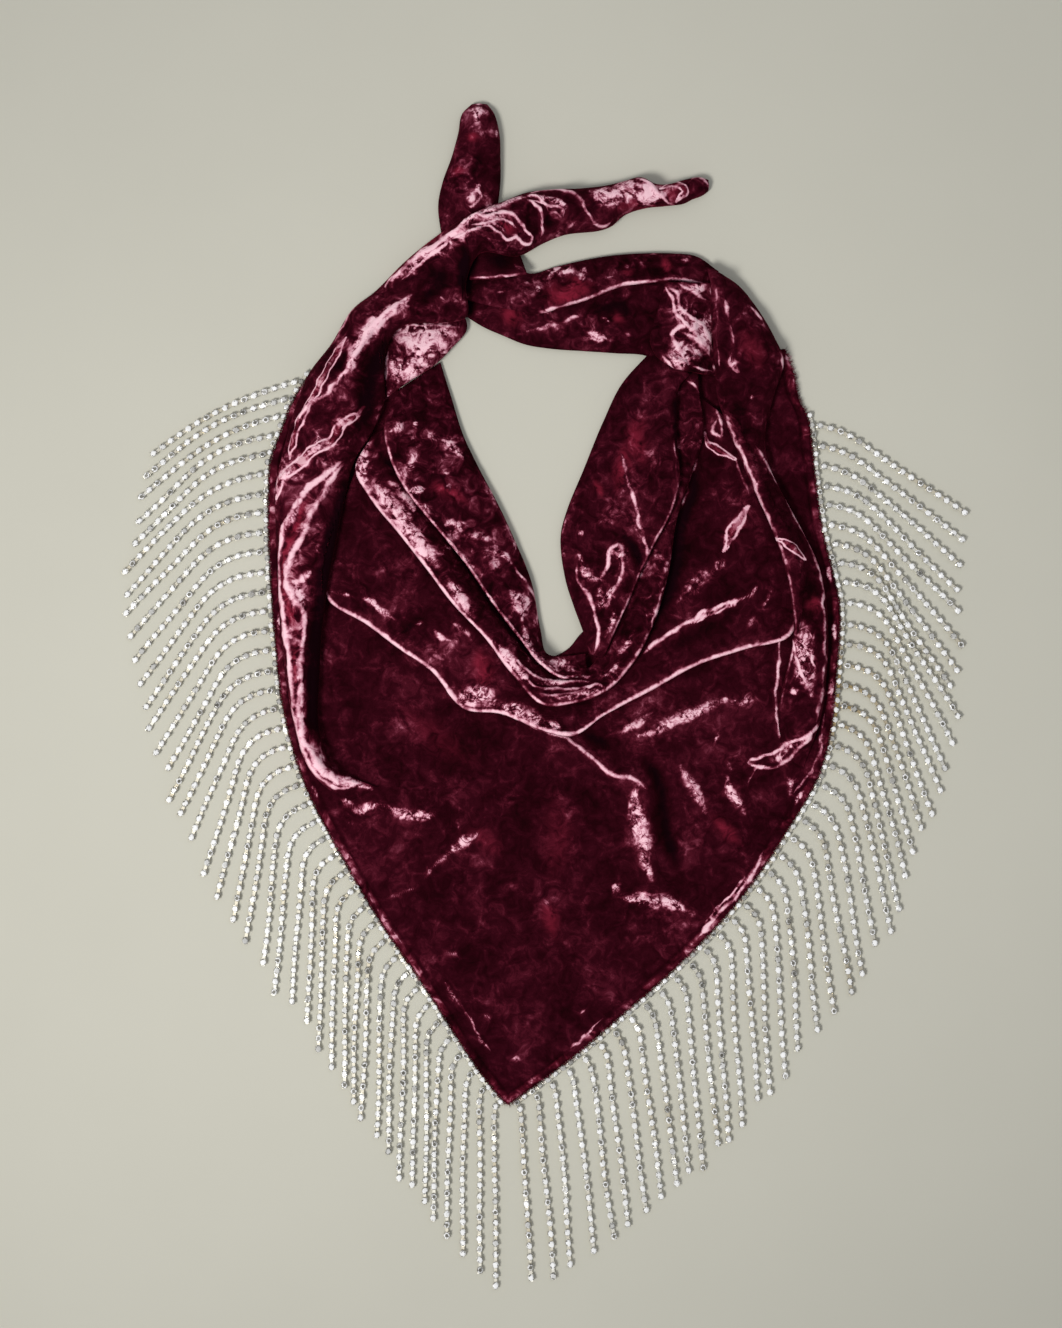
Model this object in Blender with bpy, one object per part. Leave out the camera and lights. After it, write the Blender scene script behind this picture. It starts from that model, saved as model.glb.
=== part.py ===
"""A triangular velvet neck scarf laid flat on a table and tied at the back of the neck, with a
rhinestone fringe along its two short edges. X runs to the right and Y up in the view from above,
the neck opening is in the middle, and the table is at Z 0."""
import math
from collections import namedtuple

import bmesh
import bpy
import numpy as np

# Driving sizes, in millimetres; places are measured from the middle of the scarf with its fringe
MILLIMETRE = 0.001
WALL = 1.8               # one layer of velvet with its pile
GAP = 0.3                # clearance between two pieces
CELL = 0.5               # grain of the record of heights that each piece is laid on
LATTICE = 22             # test points along the side of a triangle when a piece is laid down
SETTLED = 0.01           # an underside may miss its clearance by this much
MOST_TUCK = 0.2          # of a stretch's width, however narrow it is
SOFTENINGS = 5           # how often the lift under a stretch is evened out before its top is drawn

# Fringe: a header chain with strands of claw-set stones
STRANDS = 41             # on each of the two edges
STONE_WIDTH = 2.3        # a strand seen from above
STONE_HEIGHT = 2.1
HEADER_WIDTH = 2.4
OUTER_SIDE = 2           # which of the header's four sides the strands grow from
FLOOR_CLEARANCE = 0.4    # between the strands and the table
BEND_CUTS = (0, 0.25, 0.5, 0.8)    # shares of a short bend where a strand is cut
STRAIGHT_CUTS = (0.7, 1)           # shares of the strand where the rest is cut
LONG_BEND = 0.8          # a strand that bends over more than this is cut evenly
FINE_STEPS = 60          # steps in which a strand's line is worked out

# Fringed edges of the triangle, from the shoulder to the point (x, y)
LEFT_EDGE = [
    (-108, 146), (-115, 135), (-120, 122), (-125, 108), (-126, 94), (-126, 76), (-125, 54), (-123, 27),
    (-120, 0), (-111, -34), (-92, -72), (-75.5, -100), (-57, -127), (-41, -152), (-31, -167), (-19, -182),
]
RIGHT_EDGE = [
    (106, 158), (110, 146), (112, 136), (116, 127), (118, 112), (120, 94), (122.5, 76), (127, 58),
    (130, 45), (130, 27), (128.5, 9), (127, -8), (121.5, -32), (107, -58), (88, -86), (65, -112),
    (34, -140), (3, -166), (-19, -182),
]
RIGHT_FRINGE_FROM = 32   # the fringe starts this far down the right edge

# Upper border of the front panel, hidden under the folds round the neck opening (x, y)
PANEL_BORDER = [
    (-72, 151), (-67, 137), (-60, 120), (-51, 100), (-40, 80), (-28, 62), (-18, 45), (-11, 31), (-5, 21),
    (2, 20), (8, 23), (14, 30), (24, 38), (33, 50), (41, 68), (45, 88), (49, 108), (53, 126), (58, 142),
    (70, 155),
]
SPOKES_LEFT = 19         # strips of the panel between its border and the left edge
SPOKES_RIGHT = 21
PANEL_STEPS = (0, 0.1, 0.21, 0.32, 0.43, 0.54, 0.65, 0.75, 0.84, 0.92, 1)

# Soft ridges that stand in the front panel: two ends, half width and height
Ridge = namedtuple("Ridge", "x1 y1 x2 y2 width height")
PANEL_RIDGES = [
    Ridge(-2, -15, 27, -32, 8, 4.0),
    Ridge(27, -32, 42, -38, 8, 4.5),
    Ridge(42, -38, 45, -81, 8, 5.0),
    Ridge(41, -16, 63, -6, 8, 4.0),
    Ridge(63, -6, 94, 1, 8, 3.5),
    Ridge(54, -27, 72, -52, 8, 3.0),
    Ridge(72, -52, 86, -63, 8, 2.5),
    Ridge(82, -36, 88, -52, 7, 3.0),
    Ridge(34, -89, 63, -94, 7, 2.5),
    Ridge(-103, -34, -80, -39, 8, 3.5),
    Ridge(-80, -39, -53, -52, 8, 3.0),
]
RIDGE_FLOOR = 0.4        # lower swells than this are left flat on the table

# A section across a stretch of cloth: its two sides, and how high its rim and its middle stand
Section = namedtuple("Section", "x1 y1 x2 y2 rim crown")

NECK_BAND_LOWER = [
    Section(-39, 188, -38, 173, 1.3, 1.5),
    Section(-31, 187, -30, 168, 1.4, 2.0),
    Section(-22, 185, -21, 164, 1.5, 2.8),
    Section(-11, 183, -11, 160, 1.6, 4.0),
    Section(1, 182, 1, 158, 1.6, 4.5),
    Section(14, 184, 15, 157, 1.6, 4.5),
    Section(28, 188, 30, 156, 1.6, 4.5),
    Section(41, 191, 43, 155, 1.6, 4.5),
    Section(52, 191, 53, 151, 1.6, 4.0),
    Section(63, 188, 65, 148, 1.4, 3.0),
]
NECK_BAND_UPPER = [
    Section(-36, 197, -37, 180, 1.3, 1.3),
    Section(-27, 197, -27, 177, 1.4, 1.8),
    Section(-17, 196, -17, 175, 1.5, 2.6),
    Section(-9, 192, -6, 173, 1.6, 3.6),
    Section(3, 195, 6, 176, 1.6, 4.5),
    Section(16, 198, 19, 180, 1.6, 4.5),
    Section(28, 200, 31, 185, 1.6, 4.0),
    Section(42, 201, 45, 187, 1.6, 4.0),
    Section(55, 201, 57, 188, 1.6, 4.0),
    Section(65, 200, 64, 187, 1.6, 3.5),
    Section(76, 193, 75, 185, 1.4, 2.0),
]
TAIL_UP = [
    Section(-35, 268, -28, 268, 1.4, 1.5),
    Section(-39, 264, -25, 264, 2.0, 4.0),
    Section(-41, 255, -22.5, 255, 2.2, 6.0),
    Section(-44, 244, -22, 244, 2.2, 6.5),
    Section(-48, 233, -22, 233, 2.2, 6.0),
    Section(-50, 223, -23, 223, 2.2, 6.0),
    Section(-49, 212, -24, 212, 1.6, 3.0),
    Section(-47, 203, -26, 203, 1.4, 1.5),
]
COWL_LOWER = [
    Section(-80, 119, -68, 127, 1.2, 1.0),
    Section(-92, 90, -71, 104, 1.3, 1.8),
    Section(-100, 46, -58, 81, 1.5, 3.0),
    Section(-82, 34, -46, 63, 1.5, 3.5),
    Section(-66, 22, -36, 48, 1.5, 3.5),
    Section(-53, 13, -25, 36, 1.5, 3.5),
    Section(-38, -4, -15, 22, 1.6, 4.0),
    Section(-22, -6, -7, 11, 1.6, 4.5),
    Section(-2, -14, 1, 2, 1.6, 4.5),
    Section(10, -16, 13, 2, 1.6, 4.5),
    Section(24, -7, 27, 9, 1.6, 4.5),
    Section(45, 4, 38, 22, 1.6, 4.5),
    Section(67, 16, 45, 40, 1.6, 5.0),
    Section(88, 23, 50, 58, 1.6, 5.0),
    Section(109, 30, 54, 76, 1.5, 4.5),
    Section(111, 52, 57, 90, 1.5, 4.0),
    Section(106, 72, 60, 106, 1.4, 3.2),
    Section(95, 94, 63, 121, 1.3, 2.2),
    Section(83, 124, 68, 136, 1.2, 1.2),
]
COWL_MIDDLE = [
    Section(-80, 118, -67, 126, 1.2, 1.0),
    Section(-87, 104, -65, 107, 1.4, 2.6),
    Section(-80, 90, -56, 90, 1.5, 4.2),
    Section(-67, 74, -46, 74, 1.6, 5.0),
    Section(-56, 60, -36, 58, 1.6, 5.0),
    Section(-44, 44, -25, 42, 1.6, 5.0),
    Section(-29, 28, -14, 28, 1.6, 5.0),
    Section(-17, 12, -3, 17, 1.6, 5.0),
    Section(-3, -2, 3, 12, 1.6, 5.0),
    Section(12, -1, 11, 12, 1.6, 5.0),
    Section(25, 4, 19, 16, 1.6, 5.0),
    Section(37, 16, 25, 27, 1.6, 5.0),
    Section(46, 33, 30, 42, 1.6, 5.0),
    Section(53, 56, 38, 63, 1.6, 5.0),
    Section(57, 81, 45, 90, 1.6, 4.6),
    Section(64, 103, 47, 112, 1.5, 3.6),
    Section(69, 121, 49, 130, 1.4, 2.6),
    Section(67, 140, 53, 141, 1.2, 1.3),
    Section(67, 152, 56, 153, 1.1, 0.8),
]
COWL_RIGHT = [
    Section(47, 158, 63, 146, 1.2, 1.0),
    Section(43, 154, 59, 142, 1.5, 2.5),
    Section(33, 143, 57, 131, 1.8, 5.0),
    Section(24, 125, 57, 115, 1.8, 6.0),
    Section(15, 103, 58, 97, 1.8, 6.0),
    Section(8, 86, 54, 83, 1.8, 6.0),
    Section(5, 74, 47, 70, 1.8, 6.0),
    Section(7, 55, 40, 55, 1.8, 6.0),
    Section(11, 42, 34, 41, 1.8, 5.5),
    Section(15, 31, 29, 30, 1.8, 4.5),
    Section(18, 21, 24, 19, 1.5, 2.5),
]
COWL_INNER = [
    Section(-67, 140, -49, 152, 1.3, 1.5),
    Section(-74, 125, -44, 136, 1.6, 4.0),
    Section(-72, 110, -39, 120, 1.8, 5.4),
    Section(-65, 95, -32, 105, 1.8, 6.0),
    Section(-54, 81, -24, 90, 1.8, 6.0),
    Section(-39, 63, -16, 73, 1.8, 6.0),
    Section(-26, 44, -8, 53, 1.8, 6.0),
    Section(-13, 27, -4, 32, 1.6, 4.0),
    Section(-4, 16, -1, 21, 1.5, 3.0),
    Section(5, 10, 6, 20, 1.5, 3.0),
    Section(17, 12, 16, 21, 1.4, 2.0),
]
KNOT_TURN = [
    Section(-72, 164, -57, 177, 1.5, 1.5),
    Section(-74, 161, -38, 172, 1.7, 3.0),
    Section(-75, 156, -37, 167, 1.8, 4.5),
    Section(-75, 151, -44, 158, 1.8, 5.0),
    Section(-74, 144, -52, 150, 1.8, 4.0),
    Section(-73, 136, -63, 143, 1.5, 2.0),
]
KNOT_FLAP = [
    Section(-34, 209, -30, 189, 1.2, 1.0),
    Section(-26, 207, -23, 189, 1.2, 1.4),
    Section(-19, 204, -16, 190, 1.2, 1.6),
    Section(-13, 200, -10, 191, 1.3, 1.2),
]
LEFT_ROLL = [
    Section(-122, 101, -88, 106, 2.5, 8.0),
    Section(-123, 85, -93, 84, 2.5, 8.5),
    Section(-122, 63, -97, 63, 2.5, 8.5),
    Section(-121, 36, -101, 40, 2.5, 8.0),
    Section(-118, 9, -103, 13, 2.2, 7.5),
    Section(-114, -13, -103, -13, 2.0, 6.5),
    Section(-108, -30, -97, -30, 1.8, 5.5),
    Section(-100, -39, -87, -35, 1.6, 4.0),
    Section(-89, -45, -77, -39, 1.5, 1.5),
]
ROPE = [
    Section(-122, 101, -88, 106, 2.5, 8.0),
    Section(-117, 121, -80, 119, 2.5, 8.5),
    Section(-112, 137, -74, 134, 3.0, 9.0),
    Section(-107, 148, -74, 147, 3.2, 9.0),
    Section(-98, 160, -73, 158, 3.0, 9.0),
    Section(-89, 175, -65, 168, 2.8, 8.5),
    Section(-78, 184, -49, 169, 2.5, 8.0),
    Section(-65, 197, -37, 172, 2.5, 8.0),
    Section(-51, 208, -38, 188, 2.5, 7.5),
    Section(-38, 216, -31, 200, 2.5, 8.0),
    Section(-22, 223, -14, 199, 2.8, 8.5),
    Section(-10, 228, -3, 205, 3.0, 9.0),
    Section(3, 229.5, 7, 209, 3.0, 9.0),
    Section(15, 230, 23, 211, 3.0, 8.5),
]
TAIL_RIGHT = [
    Section(15, 230, 23, 211, 3.0, 8.5),
    Section(24, 231, 28, 213, 3.0, 8.0),
    Section(33, 233, 34, 218, 2.8, 7.5),
    Section(41, 235, 43, 221, 2.6, 7.5),
    Section(48, 232, 52, 222, 2.4, 6.0),
    Section(54, 232, 60, 223, 2.4, 6.0),
    Section(61, 234, 64, 225, 2.2, 5.5),
    Section(68, 235, 69, 227, 2.0, 4.5),
    Section(71.5, 234, 71.5, 229, 1.5, 2.0),
]
SHOULDER_FOLD = [
    Section(52, 187, 76, 187, 1.2, 1.5),
    Section(50, 180, 77, 180, 1.3, 2.5),
    Section(47, 170, 77, 170, 1.3, 2.5),
    Section(45, 161, 78, 160, 1.3, 2.5),
    Section(48, 154, 78, 152, 1.3, 2.5),
    Section(56, 148, 78, 145, 1.2, 1.5),
]
RIGHT_ROLL = [
    Section(70, 194, 74, 193, 1.5, 2.0),
    Section(72, 187, 84, 187, 2.0, 4.5),
    Section(72, 176, 92, 178, 2.2, 7.0),
    Section(73, 162, 101, 163, 2.4, 8.5),
    Section(74, 150, 105, 152, 2.4, 8.5),
    Section(75, 137, 101, 138, 2.4, 8.0),
    Section(79, 124, 97, 122, 2.2, 7.0),
    Section(86, 107, 98, 107, 2.0, 6.5),
    Section(93, 91, 107, 88, 2.0, 6.5),
    Section(100, 75, 114, 75, 2.0, 6.5),
    Section(105, 60, 121, 60, 2.0, 6.5),
    Section(108, 45, 124, 45, 2.0, 6.5),
    Section(109, 29, 125, 27, 2.0, 6.5),
    Section(106, 12, 124, 9, 2.0, 6.0),
    Section(103, -2, 122, -7, 1.8, 5.5),
    Section(104, -17, 117, -22, 1.6, 4.5),
    Section(110, -28, 114, -30, 1.4, 2.0),
]

# A stretch of cloth: strips across it and along it, where its crown stands between its two sides,
# how far its underside tucks in, the pieces it meets end to end, and its shade of the velvet
Stretch = namedtuple("Stretch", "sections across along lean tuck beside shade")
STRETCHES = {
    "neck_band_lower": Stretch(NECK_BAND_LOWER, 5, 13, 0.5, 0.8, (), 0.8),
    "neck_band_upper": Stretch(NECK_BAND_UPPER, 5, 13, 0.5, 0.6, (), 1.1),
    "tail_up": Stretch(TAIL_UP, 6, 10, 0.5, 1.2, (), 1.0),
    "cowl_lower": Stretch(COWL_LOWER, 6, 38, 0.3, 0.0, (), 0.9),
    "cowl_middle": Stretch(COWL_MIDDLE, 6, 38, 0.35, 0.0, (), 1.1),
    "cowl_right": Stretch(COWL_RIGHT, 6, 17, 0.5, 0.6, (), 0.9),
    "cowl_inner": Stretch(COWL_INNER, 6, 20, 0.45, 0.6, (), 1.1),
    "knot_turn": Stretch(KNOT_TURN, 6, 9, 0.5, 0.6, (), 1.8),
    "knot_flap": Stretch(KNOT_FLAP, 4, 5, 0.5, 0.0, (), 0.7),
    "shoulder_fold": Stretch(SHOULDER_FOLD, 5, 6, 0.5, 0.0, (), 1.8),
    "left_roll": Stretch(LEFT_ROLL, 6, 20, 0.4, 1.2, (), 1.2),
    "rope": Stretch(ROPE, 8, 28, 0.5, 1.6, ("left_roll",), 1.2),
    "tail_right": Stretch(TAIL_RIGHT, 6, 12, 0.5, 1.2, ("rope",), 1.4),
    "right_roll": Stretch(RIGHT_ROLL, 6, 28, 0.5, 0.8, (), 0.9),
}
OPEN_START = ("rope", "tail_right")      # stretches whose first end meets the piece beside it
OPEN_END = ("left_roll",)

# Strands at shares of the fringed edge: degrees below the outward horizontal where a strand leaves
# its header and where it has settled, the share of its length that it bends over, and its length
Strand = namedtuple("Strand", "share leave hang bend length")
LEFT_STRANDS = [
    Strand(0.0, 18, 36, 1.00, 80),
    Strand(0.1, 12, 45, 0.60, 80),
    Strand(0.2, 6, 48, 0.50, 83),
    Strand(0.3, 6, 56, 0.45, 83),
    Strand(0.4, 10, 64, 0.40, 81),
    Strand(0.5, 16, 80, 0.35, 83),
    Strand(0.6, 26, 87, 0.25, 86),
    Strand(0.7, 34, 88, 0.20, 88),
    Strand(0.8, 38, 88, 0.18, 90),
    Strand(0.9, 40, 89, 0.15, 90),
    Strand(1.0, 84, 90, 0.12, 88),
]
RIGHT_STRANDS = [
    Strand(0.0, 12, 33, 0.30, 84),
    Strand(0.1, 8, 45, 0.35, 85),
    Strand(0.2, 6, 58, 0.35, 86),
    Strand(0.3, 6, 70, 0.35, 86),
    Strand(0.4, 18, 77, 0.30, 86),
    Strand(0.5, 32, 80, 0.25, 87),
    Strand(0.6, 38, 87, 0.20, 91),
    Strand(0.7, 44, 85, 0.15, 92),
    Strand(0.8, 46, 83, 0.15, 89),
    Strand(0.9, 52, 83, 0.12, 88),
    Strand(1.0, 80, 87, 0.10, 85),
]

# Colours as shown on a screen, 0 to 255, and how rough and metallic each finish is
VELVET = (84, 16, 36)
VELVET_ROUGHNESS = 0.65
PANEL_SHADE = 0.7
STONES = (214, 212, 208)
STONE_ROUGHNESS = 0.2
STONE_METAL = 0.6


def clear_scene():
    for thing in list(bpy.data.objects):
        bpy.data.objects.remove(thing, do_unlink=True)


def screen_colour(values, shade=1.0):
    """Blender's linear colour for a colour as a screen shows it."""
    linear = [((v / 255 + 0.055) / 1.055) ** 2.4 if v > 10 else v / 255 / 12.92 for v in values]
    return (*[min(1.0, v * shade) for v in linear], 1.0)


def material(name, colour, roughness, metallic):
    made = bpy.data.materials.new(name)
    made.use_nodes = True
    shader = made.node_tree.nodes["Principled BSDF"]
    shader.inputs["Base Color"].default_value = colour
    shader.inputs["Roughness"].default_value = roughness
    shader.inputs["Metallic"].default_value = metallic
    made.diffuse_color = colour
    return made


def add_object(name, points, triangles, finish):
    """An object from corners in millimetres and triangles, with its faces turned out."""
    mesh = bpy.data.meshes.new(name)
    mesh.from_pydata((points * MILLIMETRE).tolist(), [], [tuple(t) for t in triangles.tolist()])
    work = bmesh.new()
    work.from_mesh(mesh)
    bmesh.ops.recalc_face_normals(work, faces=work.faces)
    work.to_mesh(mesh)
    work.free()
    mesh.materials.append(finish)
    made = bpy.data.objects.new(name, mesh)
    bpy.context.scene.collection.objects.link(made)
    return made


def smooth(rows, columns=None, steps=12):
    """Rows on a smooth curve through the given ones, spaced by the distance over some columns."""
    rows = np.array(rows, float)
    seen = rows if columns is None else rows[:, columns]
    knots = np.concatenate([[0], np.cumsum(np.linalg.norm(np.diff(seen, axis=0), axis=1))])
    slope = np.diff(rows, axis=0) / np.diff(knots)[:, None]
    before, after = np.diff(knots)[:-1, None], np.diff(knots)[1:, None]
    inner = (slope[:-1] * after + slope[1:] * before) / (before + after)
    tangent = np.vstack([slope[:1], inner, slope[-1:]])
    out = []
    for i, start in enumerate(knots[:-1]):
        span = knots[i + 1] - start
        t = np.linspace(0, 1, steps, endpoint=False)[:, None]
        out.append(
            rows[i] * (2 * t**3 - 3 * t**2 + 1)
            + rows[i + 1] * (3 * t**2 - 2 * t**3)
            + tangent[i] * span * (t**3 - 2 * t**2 + t)
            + tangent[i + 1] * span * (t**3 - t**2)
        )
    return np.vstack([*out, rows[-1:]])


def lengths(path):
    """Distance along a path at each of its points."""
    return np.concatenate([[0], np.cumsum(np.linalg.norm(np.diff(path, axis=0), axis=1))])


def at(rows, distance, wanted):
    """Rows read at the wanted distances."""
    return np.column_stack([np.interp(wanted, distance, column) for column in rows.T])


def grid_triangles(along, across, first=0):
    """Two triangles for each cell of a grid of corners that is stored row by row."""
    row, column = np.meshgrid(np.arange(along), np.arange(across), indexing="ij")
    a = (first + row * (across + 1) + column).ravel()
    b, c, d = a + 1, a + across + 2, a + across + 1
    return np.vstack([np.column_stack([a, b, c]), np.column_stack([a, c, d])])


def rim_triangles(along, across, under):
    """Triangles between the border of a top grid and that of a bottom grid stored after it."""
    top = [(0, c) for c in range(across)] + [(r, across) for r in range(along)]
    top += [(along, c) for c in range(across, 0, -1)] + [(r, 0) for r in range(along, 0, -1)]
    loop = np.array([r * (across + 1) + c for r, c in top])
    ahead = np.roll(loop, -1)
    return np.vstack([
        np.column_stack([loop, loop + under, ahead + under]),
        np.column_stack([loop, ahead + under, ahead]),
    ])


def lattice():
    """Weights of evenly spread points in a triangle."""
    steps = [(i, j, LATTICE - i - j) for i in range(LATTICE + 1) for j in range(LATTICE + 1 - i)]
    return np.array(steps, float) / LATTICE


class Pile:
    """The height of every piece laid so far, on a fine grid over the table."""

    LOW = np.array([-140.0, -200.0])
    SHAPE = (1000, 580)

    def __init__(self):
        self.heights = {}

    def cell(self, places):
        column, row = ((places[..., :2] - self.LOW) / CELL).astype(int).T
        return row.T, column.T

    def add(self, name, corners, triangles):
        points = np.einsum("sk,tkc->tsc", lattice(), corners[triangles]).reshape(-1, 3)
        height = np.zeros(self.SHAPE)
        np.maximum.at(height, self.cell(points), points[:, 2])
        spread = [np.roll(height, (i, j), (0, 1)) for i in (-1, 0, 1) for j in (-1, 0, 1)]
        self.heights[name] = np.max(spread, axis=0)

    def clear_height(self, places, beside=()):
        """The lowest that an underside may lie at some places."""
        below = [h for name, h in self.heights.items() if name not in beside]
        if not below:
            return np.zeros(places.shape[:-1])
        top = np.max(below, axis=0)[self.cell(places)]
        return np.where(top > 0, top + GAP, 0.0)

    def underside(self, places, triangles, beside=()):
        """Heights for the corners of an underside, so that its triangles clear the pile."""
        weights = lattice()
        samples = np.einsum("sk,tkc->tsc", weights, places[triangles])
        need = self.clear_height(samples, beside)
        height = self.clear_height(places, beside)
        share = weights / (weights**2).sum(axis=1, keepdims=True)
        short = need - height[triangles] @ weights.T
        while short.max() > SETTLED:
            lift = np.max(np.clip(short, 0, None)[:, :, None] * share[None], axis=1)
            raised = height.copy()
            np.maximum.at(raised, triangles, height[triangles] + lift)
            height = raised
            short = need - height[triangles] @ weights.T
        return height


def soften(height):
    """A grid of heights evened out with its neighbours, never lower than it was."""
    padded = np.pad(height, 1, mode="edge")
    mean = (padded[:-2, 1:-1] + padded[2:, 1:-1] + padded[1:-1, :-2] + padded[1:-1, 2:]) / 4
    return np.maximum(height, (height + mean) / 2)


def crown_shape(across, lean):
    """Shares across a stretch, close together at its sides, and the height of its round top."""
    share = (1 - np.cos(np.linspace(0, math.pi, across + 1))) / 2
    bent = share ** (math.log(0.5) / math.log(lean))
    return share, np.sqrt(np.clip(1 - (2 * bent - 1) ** 2, 0, None))


def lay_stretch(name, stretch, pile):
    """A rounded stretch of cloth on whatever lies below it."""
    rows = smooth([section[:] for section in stretch.sections], columns=[0, 1, 2, 3])
    middle = lengths((rows[:, 0:2] + rows[:, 2:4]) / 2)
    start = GAP if name in OPEN_START else 0
    end = middle[-1] - (GAP if name in OPEN_END else 0)
    cuts = at(rows, middle, np.linspace(start, end, stretch.along + 1))
    share, shape = crown_shape(stretch.across, stretch.lean)

    left, right = cuts[:, None, 0:2], cuts[:, None, 2:4]
    plan = left + (right - left) * share[None, :, None]
    width = np.linalg.norm(right - left, axis=2)
    inset = np.minimum(stretch.tuck / width, MOST_TUCK)
    tucked = inset + (1 - 2 * inset) * share[None, :]
    under_plan = left + (right - left) * tucked[:, :, None]

    faces = grid_triangles(stretch.along, stretch.across)
    under = pile.underside(under_plan.reshape(-1, 2), faces, stretch.beside)
    base = under.reshape(plan.shape[:2])
    for turn in range(SOFTENINGS):
        base = soften(base)
    top = base + cuts[:, 4:5] + cuts[:, 5:6] * shape[None, :]

    corners = np.vstack([
        np.column_stack([plan.reshape(-1, 2), top.ravel()]),
        np.column_stack([under_plan.reshape(-1, 2), under]),
    ])
    count = len(under)
    sides = rim_triangles(stretch.along, stretch.across, count)
    triangles = np.vstack([faces, faces[:, ::-1] + count, sides])
    pile.add(name, corners[:count], faces)
    colour = screen_colour(VELVET, stretch.shade)
    finish = material(f"{name}_velvet", colour, VELVET_ROUGHNESS, 0.0)
    add_object(name, corners, triangles, finish)


def ridge_height(places):
    """How far the ridges lift the front panel off the table."""
    height = np.zeros(len(places))
    for ridge in PANEL_RIDGES:
        start, end = np.array([ridge.x1, ridge.y1]), np.array([ridge.x2, ridge.y2])
        run = end - start
        share = np.clip((places - start) @ run / (run @ run), 0, 1)
        away = np.linalg.norm(places - (start + share[:, None] * run), axis=1)
        height = np.maximum(height, ridge.height * np.exp(-((away / ridge.width) ** 2)))
    return np.clip(height - RIDGE_FLOOR, 0, None)


def edge_path(points, spokes):
    """The places along a fringed edge where the front panel's strips end."""
    path = smooth(points)
    far = lengths(path)
    return at(path, far, np.linspace(0, far[-1], spokes + 1))


def lay_panel(pile):
    """The flat front of the scarf: a single layer from the hidden border to the fringed edges."""
    left, right = edge_path(LEFT_EDGE, SPOKES_LEFT), edge_path(RIGHT_EDGE, SPOKES_RIGHT)
    outer = np.vstack([left, right[-2::-1]])
    border = smooth(PANEL_BORDER)
    far = lengths(border)
    spokes = len(outer) - 1
    inner = at(border, far, np.linspace(0, far[-1], spokes + 1))
    share = np.array(PANEL_STEPS)
    plan = (inner[:, None] + (outer - inner)[:, None] * share[None, :, None]).reshape(-1, 2)
    lift = ridge_height(plan)
    faces = grid_triangles(spokes, len(share) - 1)
    corners = np.vstack([np.column_stack([plan, lift + WALL]), np.column_stack([plan, lift])])
    triangles = np.vstack([
        faces,
        faces[:, ::-1] + len(plan),
        rim_triangles(spokes, len(share) - 1, len(plan)),
    ])
    pile.add("front_panel", corners[:len(plan)], faces)
    colour = screen_colour(VELVET, PANEL_SHADE)
    finish = material("front_panel_velvet", colour, VELVET_ROUGHNESS, 0.0)
    add_object("front_panel", corners, triangles, finish)


def strand_line(root, side, strand):
    """Points and headings down one strand, from its header outward; side is -1 left, 1 right."""
    fine = np.linspace(0, 1, FINE_STEPS + 1)
    turn = np.clip(fine / strand.bend, 0, 1)
    turn = turn * turn * (3 - 2 * turn)
    angle = np.radians(strand.leave + (strand.hang - strand.leave) * turn)
    heading = np.column_stack([side * np.cos(angle), -np.sin(angle)])
    steps = (heading[:-1] + heading[1:]) / 2 * strand.length / FINE_STEPS
    line = root + np.vstack([[0, 0], np.cumsum(steps, axis=0)])
    cuts = np.concatenate([strand.bend * np.array(BEND_CUTS), STRAIGHT_CUTS])
    if strand.bend > LONG_BEND:
        cuts = np.linspace(0, 1, len(cuts))
    cuts = np.unique(cuts)
    return at(line, fine, cuts), at(heading, fine, cuts)


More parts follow.
